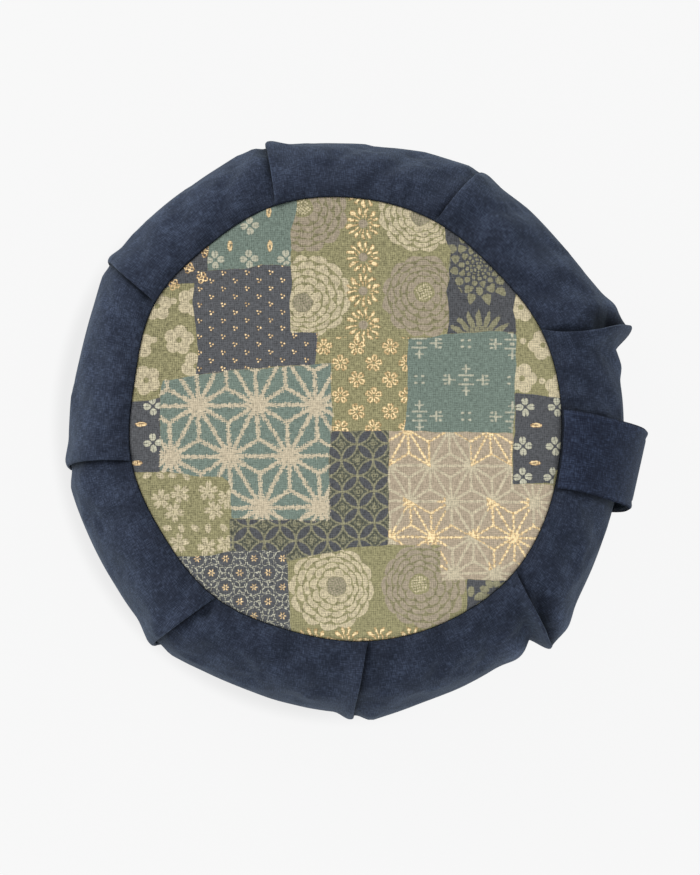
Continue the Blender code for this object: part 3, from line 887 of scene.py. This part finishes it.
strap = {
    "degrees": -8.0, "width": 52.0, "thick": 2.6, "outerR": 186.2, "endGap": 1.0, "droop": 1.6,
    "skew": 0.085, "spread": 0.027, "lean": -1.85, "columns": 40, "rows": 130,
    # the rounded edge, then the stitched bead and the groove inside it: how far in, and how wide
    "edgeRound": 1.3, "bead": 0.45, "beadIn": 2.0, "beadWide": 1.3, "grooveIn": 5.0, "grooveWide": 0.9,
    # painted light: how bright the side that shows is drawn, the painted highlight on its bead, and the
    # painted shade on the hidden side and at the very edge
    "faceLight": 0.92, "beadLight": 0.14, "backLight": 0.5, "edgeLight": 0.55, "edgeReach": 1.2,
    # the painted shadow that it casts on the band, and between which distances from the middle that grows
    "shadow": 0.6, "shadowReach": 2.6, "shadowFrom": 145.0, "shadowGrows": 35.0,
    # how far it stands off the band, by degrees above or below the widest line
    "slack": (
        (90, 0.7), (85, 1.2), (78, 1.6), (69, 1.9), (61, 2.3), (53, 3.2), (45, 4.4), (37, 5.8),
        (29, 7.2), (21, 8.3), (13, 9.0), (5, 9.2), (-4, 9.0), (-13, 8.4), (-22, 7.4), (-31, 6.2),
        (-40, 4.9), (-50, 3.4), (-58, 2.2), (-66, 1.5), (-79, 0.9), (-90, 0.7),
    ),
}


def strapPoint(across, degrees, slack):
    phi = math.radians(degrees)
    out = reachOut(phi)
    bend = smooth(out) ** 2
    across = across * (1 + strap["spread"] * bend) + strap["lean"] * bend
    middle = bandPoint(strap["degrees"], strap["outerR"], phi, slack)
    along, z = math.hypot(middle[0], middle[1]), middle[2]
    turn = math.degrees(math.asin(across / along))
    seamAlong = math.sqrt(seamRadius(strap["degrees"] + turn) ** 2 - across**2)
    along += (seamAlong - seamRadius(strap["degrees"]) + strap["endGap"]) * (1 - out)
    along += strap["skew"] * across * smooth((out - 0.5) / 0.5)
    droop = strap["droop"] * (across / (strap["width"] / 2)) ** 2
    z -= droop * math.sin(phi) * smooth((out - 0.4) / 0.3) * smooth((1 - out) / 0.3)
    a = math.radians(strap["degrees"])
    return (along * math.cos(a) - across * math.sin(a), along * math.sin(a) + across * math.cos(a), z)


def buildStrap():
    half, columns, rows = strap["width"] / 2, strap["columns"], strap["rows"]
    slackDegrees = [s[0] for s in reversed(strap["slack"])]
    slackValues = [s[1] for s in reversed(strap["slack"])]
    points, place = [], []
    for k in range(rows):
        degrees = 90 - 180 * k / (rows - 1)
        slack = float(np.interp(degrees, slackDegrees, slackValues))
        ring = []
        for side in (0, 1):  # the side against the band, then the one that shows
            for i in range(columns):
                t = 2 * i / (columns - 1) - 1
                t = t if side == 0 else -t
                fromEdge = half * (1 - abs(t))
                edge = max(strap["edgeRound"] - fromEdge, 0) / strap["edgeRound"]
                rounded = math.sqrt(max(1 - edge**2, 0.0))
                bead = math.exp(-((fromEdge - strap["beadIn"]) / strap["beadWide"]) ** 2)
                groove = math.exp(-((fromEdge - strap["grooveIn"]) / strap["grooveWide"]) ** 2)
                thick = strap["thick"] / 2 + strap["bead"] * (bead - groove)
                deep = strap["thick"] / 2 + thick * (rounded if side else -rounded)
                ring.append(strapPoint(t * half, degrees, slack + deep))
                # painted light: a highlight along the bead, shade on the hidden side and at the very edge
                lit = strap["beadLight"] * math.exp(-((fromEdge - strap["beadIn"]) / strap["edgeReach"]) ** 2)
                light = strap["faceLight"] + lit if side else strap["backLight"]
                light *= mix(strap["edgeLight"], 1.0, smooth(fromEdge / strap["edgeReach"]))
                place.append((t * half, light))
        points += ring
    count = 2 * columns
    faces = []
    for row in range(rows - 1):
        a, b = row * count, (row + 1) * count
        faces += [(a + i, a + (i + 1) % count, b + (i + 1) % count, b + i) for i in range(count)]
    last = (rows - 1) * count
    for i in range(columns - 1):
        faces.append((i, count - 1 - i, count - 2 - i, i + 1))
        faces.append((last + i, last + i + 1, last + count - 2 - i, last + count - 1 - i))
    length = np.zeros(rows)
    middle = np.array([points[k * count + columns // 2] for k in range(rows)])
    length[1:] = np.cumsum(np.linalg.norm(np.diff(middle, axis=0), axis=1))
    cloth = [(p[0], length[i // count], 0) for i, p in enumerate(place)]
    print("strap length", round(float(length[-1]), 1))
    fields = {"clothPlace": cloth, "paintedLight": [p[1] for p in place]}
    return makePiece("strapHandle", points, faces, fields), float(length[-1])


# the strap's painted shadow on the band: the band's painted light darkened under and beside the strap
def shadeUnderStrap():
    count = len(pleatedBand.data.vertices)
    spots, light = np.zeros(3 * count), np.zeros(count, dtype=np.float32)
    pleatedBand.data.vertices.foreach_get("co", spots)
    held = pleatedBand.data.attributes["paintedLight"].data
    held.foreach_get("value", light)
    x, y = spots[0::3] / mm, spots[1::3] / mm
    a = math.radians(strap["degrees"])
    along, across = x * math.cos(a) + y * math.sin(a), y * math.cos(a) - x * math.sin(a)
    bend = np.clip((along - strap["shadowFrom"]) / strap["shadowGrows"], 0, 1) ** 2
    beyond = np.abs(across - strap["lean"] * bend) - strap["width"] / 2 * (1 + strap["spread"] * bend)
    shadow = np.where(along > 0, np.exp(-((np.maximum(beyond, 0) / strap["shadowReach"]) ** 2)), 0)
    held.foreach_set("value", (light * (1 - strap["shadow"] * shadow)).astype(np.float32))


strapHandle, strapLength = buildStrap()
shadeUnderStrap()
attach(strapHandle, "root")
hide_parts("handle_strap")
print("strap handle")


indigo = {
    "dyes": ("#212736", "#2D3445", "#434D62"),  # in the gaps, usual, and on a slub
    "doubledDyes": ("#1A1F30", "#262D40", "#3B465E"),
    # threads to the mm across and along themselves, the uneven dye's scale, and how much that shows
    "across": 1.5, "along": 0.22, "dyeScale": 0.07, "dyeShows": 0.7, "palest": 1.3, "darkest": 0.72,
    "roughness": 0.92, "sheen": 0.16, "sheenRoughness": 0.5, "sheenTint": "#9FB8CC", "specular": 0.2,
    "bump": 0.5, "bumpDepth": 0.0005,
}


def weave(tree, place, across, along, shift, detail):
    # threads both ways: two noises, each drawn out along its own threads
    warp = addNode(tree, "Mapping", {"Vector": place, "Scale": (across, along, 1)})
    weft = addNode(tree, "Mapping", {"Vector": place, "Scale": (along, across, 1), "Location": shift})
    noises = [addNode(tree, "TexNoise", {"Vector": way, "Scale": 1.0, "Detail": detail})
              for way in (warp, weft)]
    return addNode(tree, "Math", noises, operation="ADD")


def indigoCloth(name, dyes, seam, light):
    cloth, tree, shader = newMaterial(name)
    # the threads are drawn coarser than real ones so that they show
    place = addNode(tree, "Attribute", attribute_name="clothPlace", attribute_type="GEOMETRY")
    place = place.outputs["Vector"]
    threads = weave(tree, place, indigo["across"], indigo["along"], (13, 5, 0), 1.0)
    worn = addNode(tree, "TexNoise", {"Vector": place, "Scale": indigo["dyeScale"], "Detail": 3.0})
    shows = indigo["dyeShows"]
    tone = addNode(tree, "Math", (worn, shows, -shows / 2), operation="MULTIPLY_ADD")
    tone = addNode(tree, "Math", (threads, tone), operation="ADD")
    tone = addNode(tree, "MapRange", (tone, indigo["darkest"], indigo["palest"], 0.0, 1.0))
    ramp = addNode(tree, "ValToRGB", (tone,))
    ramp.color_ramp.elements.new(0.5)
    for stop, dye in zip(ramp.color_ramp.elements, dyes):
        stop.color = linearColour(dye)
    colour = ramp.outputs[0]
    # painted shade: the dye darkened close to the seam, where the seam's channel lies in shadow
    if seam:  # the shadow held in the seam's own channel
        toSeam = addNode(tree, "Attribute", attribute_name="toSeam", attribute_type="GEOMETRY")
        held = addNode(tree, "MapRange", (toSeam.outputs["Fac"], 0.1, 0.7, 0.85, 1.0))
        colour = addNode(tree, "VectorMath", (colour, held), operation="MULTIPLY").outputs[0]
    # painted light: the dye multiplied by the piece's painted light, darker under lips, in creases and below
    # the strap, lighter on edges
    if light:  # the light that reaches under lips, into creases and below the strap
        held = addNode(tree, "Attribute", attribute_name="paintedLight", attribute_type="GEOMETRY")
        colour = addNode(tree, "VectorMath", (colour, held.outputs["Fac"]), operation="MULTIPLY").outputs[0]
    tree.links.new(colour, shader.inputs["Base Color"])
    setSockets(shader, {
        "Roughness": indigo["roughness"], "Sheen Weight": indigo["sheen"],
        "Sheen Roughness": indigo["sheenRoughness"], "Sheen Tint": linearColour(indigo["sheenTint"]),
        "Specular IOR Level": indigo["specular"],
    })
    bump = addNode(tree, "Bump", {"Height": threads, "Strength": indigo["bump"],
                                  "Distance": indigo["bumpDepth"]})
    tree.links.new(bump.outputs[0], shader.inputs["Normal"])
    return cloth


# the linen, in mm: its threads, how far their noises draw the print about, and the finest patterns,
# each with where it starts and its pitch
linen = {
    "across": 1.8, "along": 0.3, "evenThread": 1.4, "raggedScale": 0.9, "slowScale": 0.16,
    "stray": (0.5, 0.5, 0), "drift": (4.5, 4.5, 0), "flowerStray": (0.4, 0.4, 0), "flowerBend": 2.6,
    "smallFlowerBend": 0.8, "roughness": 0.9, "specular": 0.2, "bump": 0.35, "bumpDepth": 0.0004,
    "paler": (0.0009, -0.00075, 0), "shadeShows": 0.25,
}
threes = {"x": -95.8, "y": 85.2, "pitchX": 15.55, "pitchY": 10.6, "dot": 0.56}
blossoms = {"x": 7.2, "y": 24.8, "pitchX": 21.7, "pitchY": 21.3}
bursts = {"x": 11.2, "y": 60.6, "pitch": 22.65, "lowX": 0.2, "lowY": -147.4, "lowPitch": 21.8}
netting = {"x": -60.0, "y": -110.4, "pitchX": 18.6, "pitchY": 18.6, "ring": 5.1, "loop": 5.4, "bulge": 1.6}
chrysanthemum = {
    "rings": ((10.9, 8, 3.0), (14.9, 10, 3.1), (18.9, 11, 3.2), (23.0, 12, 3.4), (27.0, 12, 3.4)),
    "crescent": 0.85, "gap": 0.7, "slit": 0.3, "petalsFrom": 6.7, "core": 6.3, "stamens": 5.2,
    "grain": (0.59, 0.59, 0),
}
# rings of petals: how many, how far out, half as long and wide, how far turned, how narrow at the tip
dahliaRings = (
    (7, 2.9, 0.65, 0.7, 0.0, 0.0), (11, 5.1, 0.85, 0.95, 0.1, 0.0), (13, 7.9, 1.2, 1.3, 0.3, 0.0),
    (13, 11.7, 1.9, 1.8, 0.1, 0.3), (13, 16.6, 2.8, 2.5, 0.3, 0.4), (13, 22.2, 3.5, 2.4, 0.08, 0.5),
)
daisyRings = ((20, 17.4, 6.2, 1.75, 0.0, 0.2), (20, 10.0, 2.6, 1.5, 0.157, 0.0))
burstRings = ((13, 8.6, 2.4, 0.95, 0.1, -0.3), (12, 5.2, 1.2, 0.5, 0.4, -0.3))


def printedLinen():
    cloth, tree, shader = newMaterial("printedLinen")
    fields = {}
    for name in printFields:
        node = addNode(tree, "Attribute", attribute_name=name, attribute_type="GEOMETRY")
        fields[name] = node.outputs["Vector" if name.endswith("Place") else "Fac"]
    half = (0.5, 0.5, 0.5)
    # the threads are drawn a little coarser than real ones so that they show
    place = fields["clothPlace"]
    threads = weave(tree, place, linen["across"], linen["along"], (31, 7, 0), 0.6)
    ragged = addNode(tree, "TexNoise", {"Vector": place, "Scale": linen["raggedScale"], "Detail": 1.0})
    ragMm = addNode(tree, "MapRange", (ragged, 0.3, 0.7, -0.1, 0.1))
    threadMm = addNode(tree, "MapRange", (threads, 0.7, 1.3, -0.2, 0.2))
    ragMm = addNode(tree, "Math", (ragMm, threadMm), operation="ADD")
    stray = addNode(tree, "VectorMath", (ragged.outputs["Color"], half), operation="SUBTRACT")
    slow = addNode(tree, "TexNoise", {"Vector": place, "Scale": linen["slowScale"], "Detail": 1.0})
    slow = addNode(tree, "VectorMath", (slow.outputs["Color"], half), operation="SUBTRACT")
    drawn = addNode(tree, "VectorMath", (stray, linen["stray"], place), operation="MULTIPLY_ADD")
    drifted = addNode(tree, "VectorMath", (slow, linen["drift"], drawn), operation="MULTIPLY_ADD")

    def lattice(at):
        # the place measured from the nearest point of a stepped lattice, in mm, and the cell's number
        wide, high = at["pitchX"], at["pitchY"]
        moved = addNode(tree, "VectorMath", (drawn, (-at["x"], -at["y"], 0)), operation="ADD")
        p = addNode(tree, "VectorMath", (moved, (1 / wide, 1 / high, 0)), operation="DOT_PRODUCT")
        q = addNode(tree, "VectorMath", (moved, (1 / wide, -1 / high, 0)), operation="DOT_PRODUCT")
        cell = addNode(tree, "CombineXYZ", (p.outputs["Value"], q.outputs["Value"]))
        whole = addNode(tree, "VectorMath", (cell, half), operation="ADD")
        whole = addNode(tree, "VectorMath", (whole,), operation="FLOOR")
        part = addNode(tree, "VectorMath", (cell, whole), operation="SUBTRACT")
        u = addNode(tree, "VectorMath", (part, (wide / 2, wide / 2, 0)), operation="DOT_PRODUCT")
        v = addNode(tree, "VectorMath", (part, (high / 2, -high / 2, 0)), operation="DOT_PRODUCT")
        return u.outputs["Value"], v.outputs["Value"], whole

    def polar(u, v, turn=None):
        angle = addNode(tree, "Math", (v, u), operation="ARCTAN2")
        if turn is not None:
            angle = addNode(tree, "Math", (angle, turn), operation="ADD")
        spot = addNode(tree, "CombineXYZ", (u, v))
        return addNode(tree, "VectorMath", (spot,), operation="LENGTH").outputs["Value"], angle

    def folded(r, angle, sectors, turn=0.0):
        # one of so many equal sectors: how far out along it, and across it
        step = 2 * math.pi / sectors
        angle = addNode(tree, "Math", (angle, turn), operation="ADD")
        angle = addNode(tree, "Math", (angle, step / 2, -step / 2), operation="WRAP")
        c = addNode(tree, "Math", (angle,), operation="COSINE")
        s = addNode(tree, "Math", (angle,), operation="SINE")
        return (addNode(tree, "Math", (r, c), operation="MULTIPLY"),
                addNode(tree, "Math", (r, s), operation="MULTIPLY"))

    def oval(out, across, reach, halfLong, halfWide, point=0.0):
        # a petal: positive inside, in mm. point narrows its outer end
        out = addNode(tree, "Math", (out, 1 / halfLong, -reach / halfLong), operation="MULTIPLY_ADD")
        narrow = addNode(tree, "Math", (out, point, 1.0), operation="MULTIPLY_ADD")
        across = addNode(tree, "Math", (across, narrow), operation="MULTIPLY")
        across = addNode(tree, "Math", (across, 1 / halfWide), operation="MULTIPLY")
        spot = addNode(tree, "CombineXYZ", (out, across))
        size = addNode(tree, "VectorMath", (spot,), operation="LENGTH").outputs["Value"]
        return addNode(tree, "Math", (size, -halfWide, halfWide), operation="MULTIPLY_ADD")

    def join(fields, operation="MAXIMUM"):
        total = fields[0]
        for field in fields[1:]:
            total = addNode(tree, "Math", (total, field), operation=operation)
        return total

    def cutOut(field, hole):
        return join((field, addNode(tree, "Math", (hole, -1.0), operation="MULTIPLY")), "MINIMUM")

    def ringed(r, angle, rings):
        petals = []
        for sectors, reach, halfLong, halfWide, turn, point in rings:
            out, across = folded(r, angle, sectors, turn)
            petals.append(oval(out, across, reach, halfLong, halfWide, point))
        return petals

    # gold threes: three dots to a point of the lattice
    u, v, cell = lattice(threes)
    spot = addNode(tree, "CombineXYZ", (u, v))
    dots = [addNode(tree, "VectorMath", (spot, centre), operation="DISTANCE").outputs["Value"]
            for centre in ((-0.95, 0.95, 0), (1.0, 0.3, 0), (-0.35, -1.0, 0))]
    dots = addNode(tree, "Math", (threes["dot"], join(dots, "MINIMUM")), operation="SUBTRACT")
    gold = [join((dots, fields["areaDotted"]), "MINIMUM")]

    # gold five-petalled blossoms, drawn in outline, each turned its own way
    u, v, cell = lattice(blossoms)
    chance = addNode(tree, "TexWhiteNoise", (cell,), noise_dimensions="3D").outputs["Value"]
    flip = addNode(tree, "Math", (chance, 0.6), operation="GREATER_THAN")
    sway = addNode(tree, "Math", (chance, 0.5, math.radians(-98)), operation="MULTIPLY_ADD")
    flip = addNode(tree, "Math", (flip, math.radians(36), sway), operation="MULTIPLY_ADD")
    r, angle = polar(u, v, flip)
    out, across = folded(r, angle, 5)
    whole = oval(out, across, 3.3, 2.25, 1.75, -0.3)
    hole = oval(out, across, 3.2, 1.15, 0.6, -0.4)
    notch = oval(out, across, 5.6, 0.7, 0.4)
    gold.append(join((cutOut(whole, join((hole, notch))), fields["areaBlossoms"]), "MINIMUM"))

    # gold bursts: uneven rings of strokes, in a column and again along the low edge
    spread = addNode(tree, "SeparateXYZ", (drifted,))
    low = addNode(tree, "Math", (spread.outputs[1], -60.0), operation="LESS_THAN")
    middle, reach = bursts["y"], bursts["pitch"] / 2
    columnU = addNode(tree, "Math", (spread.outputs[0], bursts["x"]), operation="SUBTRACT")
    columnV = addNode(tree, "Math", (spread.outputs[1], middle + reach, middle - reach), operation="WRAP")
    columnV = addNode(tree, "Math", (columnV, middle), operation="SUBTRACT")
    middle, reach = bursts["lowX"], bursts["lowPitch"] / 2
    rowU = addNode(tree, "Math", (spread.outputs[0], middle + reach, middle - reach), operation="WRAP")
    rowU = addNode(tree, "Math", (rowU, middle), operation="SUBTRACT")
    rowV = addNode(tree, "Math", (spread.outputs[1], -bursts["lowY"]), operation="ADD")
    u = addNode(tree, "Mix", {0: low, 2: columnU, 3: rowU}, data_type="FLOAT")
    v = addNode(tree, "Mix", {0: low, 2: columnV, 3: rowV}, data_type="FLOAT")
    r, angle = polar(u, v)
    gold.append(join((join(ringed(r, angle, burstRings)), fields["areaBursts"]), "MINIMUM"))

    # netting: octagons of broken cream line with leaf-shaped loops between, and a floret in each
    u, v, cell = lattice(netting)
    r, angle = polar(u, v)
    out = folded(r, angle, 8, math.pi / 8)[0]
    ring = addNode(tree, "Math", (out, netting["ring"]), operation="SUBTRACT")
    ring = addNode(tree, "Math", (ring,), operation="ABSOLUTE")
    sizeU = addNode(tree, "Math", (u,), operation="ABSOLUTE")
    sizeV = addNode(tree, "Math", (v,), operation="ABSOLUTE")
    most = join((sizeU, sizeV))
    least = join((sizeU, sizeV), "MINIMUM")
    gapOut = addNode(tree, "Math", (netting["pitchX"] / 2, most), operation="SUBTRACT")
    span = addNode(tree, "Math", (gapOut, least), operation="ADD")
    span = addNode(tree, "Math", (span, math.sqrt(0.5)), operation="MULTIPLY")
    aside = addNode(tree, "Math", (gapOut, least), operation="SUBTRACT")
    aside = addNode(tree, "Math", (aside,), operation="ABSOLUTE")
    aside = addNode(tree, "Math", (aside, math.sqrt(0.5)), operation="MULTIPLY")
    bulge = addNode(tree, "Math", (span, math.pi / netting["loop"]), operation="MULTIPLY")
    bulge = addNode(tree, "Math", (bulge,), operation="SINE")
    loop = addNode(tree, "Math", (bulge, -netting["bulge"], aside), operation="MULTIPLY_ADD")
    loop = addNode(tree, "Math", (loop,), operation="ABSOLUTE")
    past = addNode(tree, "Math", (span, netting["loop"]), operation="GREATER_THAN")
    loop = addNode(tree, "Math", (past, 5.0, loop), operation="MULTIPLY_ADD")
    broken = addNode(tree, "TexNoise", {"Vector": place, "Scale": 0.75, "Detail": 0.0})
    broken = addNode(tree, "MapRange", (broken, 0.34, 0.6, -0.1, 0.34))
    net = addNode(tree, "Math", (broken, join((ring, loop), "MINIMUM")), operation="SUBTRACT")
    out, across = folded(r, angle, 6)
    floret = oval(out, across, 1.5, 0.8, 0.4)
    out, across = folded(r, angle, 3, 0.6)
    gold.append(join((floret, oval(out, across, 1.6, 1.1, 1.3), fields["areaNetting"]), "MINIMUM"))
    grey = [join((join((net, floret)), fields["areaNetting"]), "MINIMUM"), fields["markGrey"]]
    cream = []

    # the larger flowers: where in which flower this is, and whether that can be trusted here
    flowerPlace = fields["flowerPlace"]
    spread = addNode(tree, "SeparateXYZ", (flowerPlace,))
    number = addNode(tree, "Math", (spread.outputs[2], 0.01), operation="MULTIPLY")
    number = addNode(tree, "Math", (number,), operation="FLOOR")
    distance = addNode(tree, "Math", (number, -100.0, spread.outputs[2]), operation="MULTIPLY_ADD")
    flat = addNode(tree, "VectorMath", (flowerPlace, (1, 1, 0)), operation="MULTIPLY")
    apart = addNode(tree, "VectorMath", (flat,), operation="LENGTH").outputs["Value"]
    apart = addNode(tree, "Math", (apart, distance), operation="SUBTRACT")
    apart = addNode(tree, "Math", (apart,), operation="ABSOLUTE")
    trusted = addNode(tree, "Math", (apart, -9.0, 4.5), operation="MULTIPLY_ADD")
    trusted = join((trusted, fields["flowerArea"]), "MINIMUM")

    def only(kind, field):
        same = addNode(tree, "Math", (number, kinds.index(kind), 0.5), operation="COMPARE")
        same = addNode(tree, "Math", (same, 18.0, -9.0), operation="MULTIPLY_ADD")
        return join((field, same, trusted), "MINIMUM")

    loose = addNode(tree, "VectorMath", (stray, linen["flowerStray"], flat), operation="MULTIPLY_ADD")
    small = addNode(tree, "Math", (number, 2.5, 0.6), operation="COMPARE")  # cherry blossoms and clovers
    less = linen["smallFlowerBend"] - linen["flowerBend"]
    bend = addNode(tree, "Math", (small, less, linen["flowerBend"]), operation="MULTIPLY_ADD")
    bent = addNode(tree, "VectorMath", (slow, bend, loose), operation="MULTIPLY_ADD")
    spread = addNode(tree, "SeparateXYZ", (bent,))
    r, angle = polar(spread.outputs[0], spread.outputs[1])

    # chrysanthemums: rings of broad petals, each ring casting a dark crescent on the next
    gaps, petals = [], None
    for k, (radius, count, deep) in enumerate(chrysanthemum["rings"]):
        wave = addNode(tree, "Math", (angle, count / 2, 1.7 * k), operation="MULTIPLY_ADD")
        wave = addNode(tree, "Math", (wave,), operation="COSINE")
        wave = addNode(tree, "Math", (wave,), operation="ABSOLUTE")
        scallop = addNode(tree, "Math", (wave, 0.5), operation="POWER")
        edge = addNode(tree, "Math", (scallop, deep, radius - 0.8 * deep), operation="MULTIPLY_ADD")
        past = addNode(tree, "Math", (r, edge), operation="SUBTRACT")
        petals = addNode(tree, "Math", (edge, r), operation="SUBTRACT")
        if k < len(chrysanthemum["rings"]) - 1:
            dark = chrysanthemum["crescent"] * deep
            thick = (scallop, -dark, chrysanthemum["gap"] + dark)
            thick = addNode(tree, "Math", thick, operation="MULTIPLY_ADD")
            after = addNode(tree, "Math", (thick, past), operation="SUBTRACT")
            gaps.append(join((past, after), "MINIMUM"))
        side = addNode(tree, "Math", (wave, r), operation="MULTIPLY")
        side = addNode(tree, "Math", (side, -2 / count, chrysanthemum["slit"]), operation="MULTIPLY_ADD")
        behind = addNode(tree, "Math", (past, 0.5 * deep), operation="ADD")
        gaps.append(join((side, behind, petals), "MINIMUM"))
    gaps = join(gaps)
    shadowed = join((gaps, petals), "MINIMUM")
    fromCore = addNode(tree, "Math", (r, chrysanthemum["petalsFrom"]), operation="SUBTRACT")
    petals = join((cutOut(petals, gaps), fromCore), "MINIMUM")
    cream.append(only("cream", petals))
    taupe = [fields["markTaupe"], only("taupe", petals)]
    core = addNode(tree, "Math", (chrysanthemum["core"], r), operation="SUBTRACT")
    olive = [only("cream", core)]
    shadowed = only("taupe", shadowed)
    grain = addNode(tree, "VectorMath", (bent, chrysanthemum["grain"]), operation="MULTIPLY")
    grain = addNode(tree, "VectorMath", (grain,), operation="FRACTION")
    grain = addNode(tree, "VectorMath", (grain, (0.5, 0.5, 0)), operation="DISTANCE").outputs["Value"]
    grain = addNode(tree, "Math", (grain, -1.7, 0.62), operation="MULTIPLY_ADD")
    middle = addNode(tree, "Math", (chrysanthemum["stamens"], r), operation="SUBTRACT")
    cream.append(only("taupe", join((grain, middle), "MINIMUM")))
    taupe.append(only("cream", join((grain, core), "MINIMUM")))

    # cherry blossoms, clovers, the dahlia and the daisy
    out, across = folded(r, angle, 5)
    cherry = oval(out, across, 3.5, 3.1, 1.8, -0.4)
    slit = join((oval(out, across, 1.4, 1.6, 0.16), oval(out, across, 6.3, 1.1, 0.6)))
    cream.append(only("cherry", cutOut(cherry, slit)))
    out, across = folded(r, angle, 4)
    clover = oval(out, across, 3.7, 2.5, 2.15, -0.15)
    slit = join((oval(out, across, 4.6, 1.5, 0.22), oval(out, across, 6.2, 0.8, 0.5)))
    grey.append(only("clover", cutOut(clover, slit)))
    eye = addNode(tree, "Math", (1.5, r), operation="SUBTRACT")
    olive = olive + [only("dahlia", join([eye] + ringed(r, angle, dahliaRings))),
                     only("daisy", join(ringed(r, angle, daisyRings)))]

    gold = join(gold + [fields["markGold"]])
    cream = join(cream + [fields["markCream"]])
    grey = join(grey)
    olive = join(olive + [fields["markOlive"]])
    taupe = join(taupe)

    def covered(field, soft=0.18, rag=1.0):
        field = addNode(tree, "Math", (ragMm, rag, field), operation="MULTIPLY_ADD")
        return addNode(tree, "MapRange", (field, -soft, soft, 0.0, 1.0))

    # one dye over another: how soft its edge is, and how ragged
    colour = addNode(tree, "RGB").outputs[0]
    colour.default_value = linearColour("#98926D")
    # painted glint: each gold line drawn palest along its middle, as foil catching the light
    paintedGlint = addNode(tree, "Math", (gold, -0.22), operation="ADD")  # a gold line is palest along its middle
    for field, dye, soft, rag in (
            (fields["groundTeal"], "#76847A", 0.15, 1.0), (fields["groundCharcoal"], "#56575A", 0.15, 1.0),
            (fields["groundTaupe"], "#B3A38D", 0.15, 1.0), (fields["markMoss"], "#585A50", 0.4, 1.0),
            (olive, "#908C71", 0.25, 1.0), (fields["markPale"], "#C9BDA2", 0.25, 0.9),
            (shadowed, "#8B8566", 0.25, 0.6), (taupe, "#A79A85", 0.25, 0.7),
            (fields["markStars"], "#C7B99F", 0.2, 4.6), (grey, "#BDBAA5", 0.2, 0.55),
            (cream, "#CBBE9E", 0.2, 0.6), (gold, "#BC9059", 0.25, 0.6), (paintedGlint, "#FFE6B4", 0.28, 1.2)):
        colour = addNode(tree, "Mix", {0: covered(field, soft, rag), 6: colour, 7: linearColour(dye)},
                         data_type="RGBA").outputs[2]
    shade = addNode(tree, "Math", (fields["patchShade"], linen["shadeShows"]), operation="MULTIPLY")
    # the threads show most in the olive and the charcoal. Besides the slubs there is the even weave
    calm = covered(join((fields["groundTeal"], fields["groundTaupe"], taupe)), 0.15)
    show = addNode(tree, "Math", (calm, -0.3, 1.3), operation="MULTIPLY_ADD")
    level = addNode(tree, "MapRange", (threads, 0.7, 1.3, -0.28, 0.28))
    spread = addNode(tree, "VectorMath", (stray, (1.6, 1.6, 0), place), operation="MULTIPLY_ADD")
    turns = 2 * math.pi / linen["evenThread"]
    spread = addNode(tree, "VectorMath", (spread, (turns, turns, 0)), operation="MULTIPLY")
    spread = addNode(tree, "VectorMath", (spread,), operation="SINE")
    even = addNode(tree, "VectorMath", (spread, (0.09, 0.09, 0)), operation="DOT_PRODUCT").outputs["Value"]
    level = addNode(tree, "Math", (level, even), operation="ADD")
    level = addNode(tree, "Math", (level, show, 1.0), operation="MULTIPLY_ADD")
    # painted light: the print drawn a little paler toward the lower right, evening out the key light from the
    # upper left
    paler = addNode(tree, "VectorMath", (place, linen["paler"]), operation="DOT_PRODUCT").outputs["Value"]
    level = addNode(tree, "Math", (level, paler), operation="ADD")  # a little paler to one side
    level = addNode(tree, "Math", (level, shade), operation="ADD")
    final = addNode(tree, "VectorMath", (colour, level), operation="MULTIPLY")
    tree.links.new(final.outputs[0], shader.inputs["Base Color"])
    setSockets(shader, {"Roughness": linen["roughness"], "Specular IOR Level": linen["specular"]})
    bump = addNode(tree, "Bump", {"Height": threads, "Strength": linen["bump"],
                                  "Distance": linen["bumpDepth"]})
    tree.links.new(bump.outputs[0], shader.inputs["Normal"])
    return cloth


# indigo linen and cotton: matt, with paler slubs and a faint bloom where the light grazes it
pleatedBand.data.materials.append(indigoCloth("indigoLinen", indigo["dyes"], True, True))
basePanel.data.materials.append(indigoCloth("indigoLinenBase", indigo["dyes"], False, False))
# the same cloth for the doubled strap, in darker dyes and a little crisper in its weave
strapHandle.data.materials.append(indigoCloth("indigoLinenDoubled", indigo["doubledDyes"], False, True))
# coarse natural linen, printed: olive, teal, charcoal and taupe patches with cream and gold, the gold with a
# painted glint
topPanel.data.materials.append(printedLinen())
print("cloths")
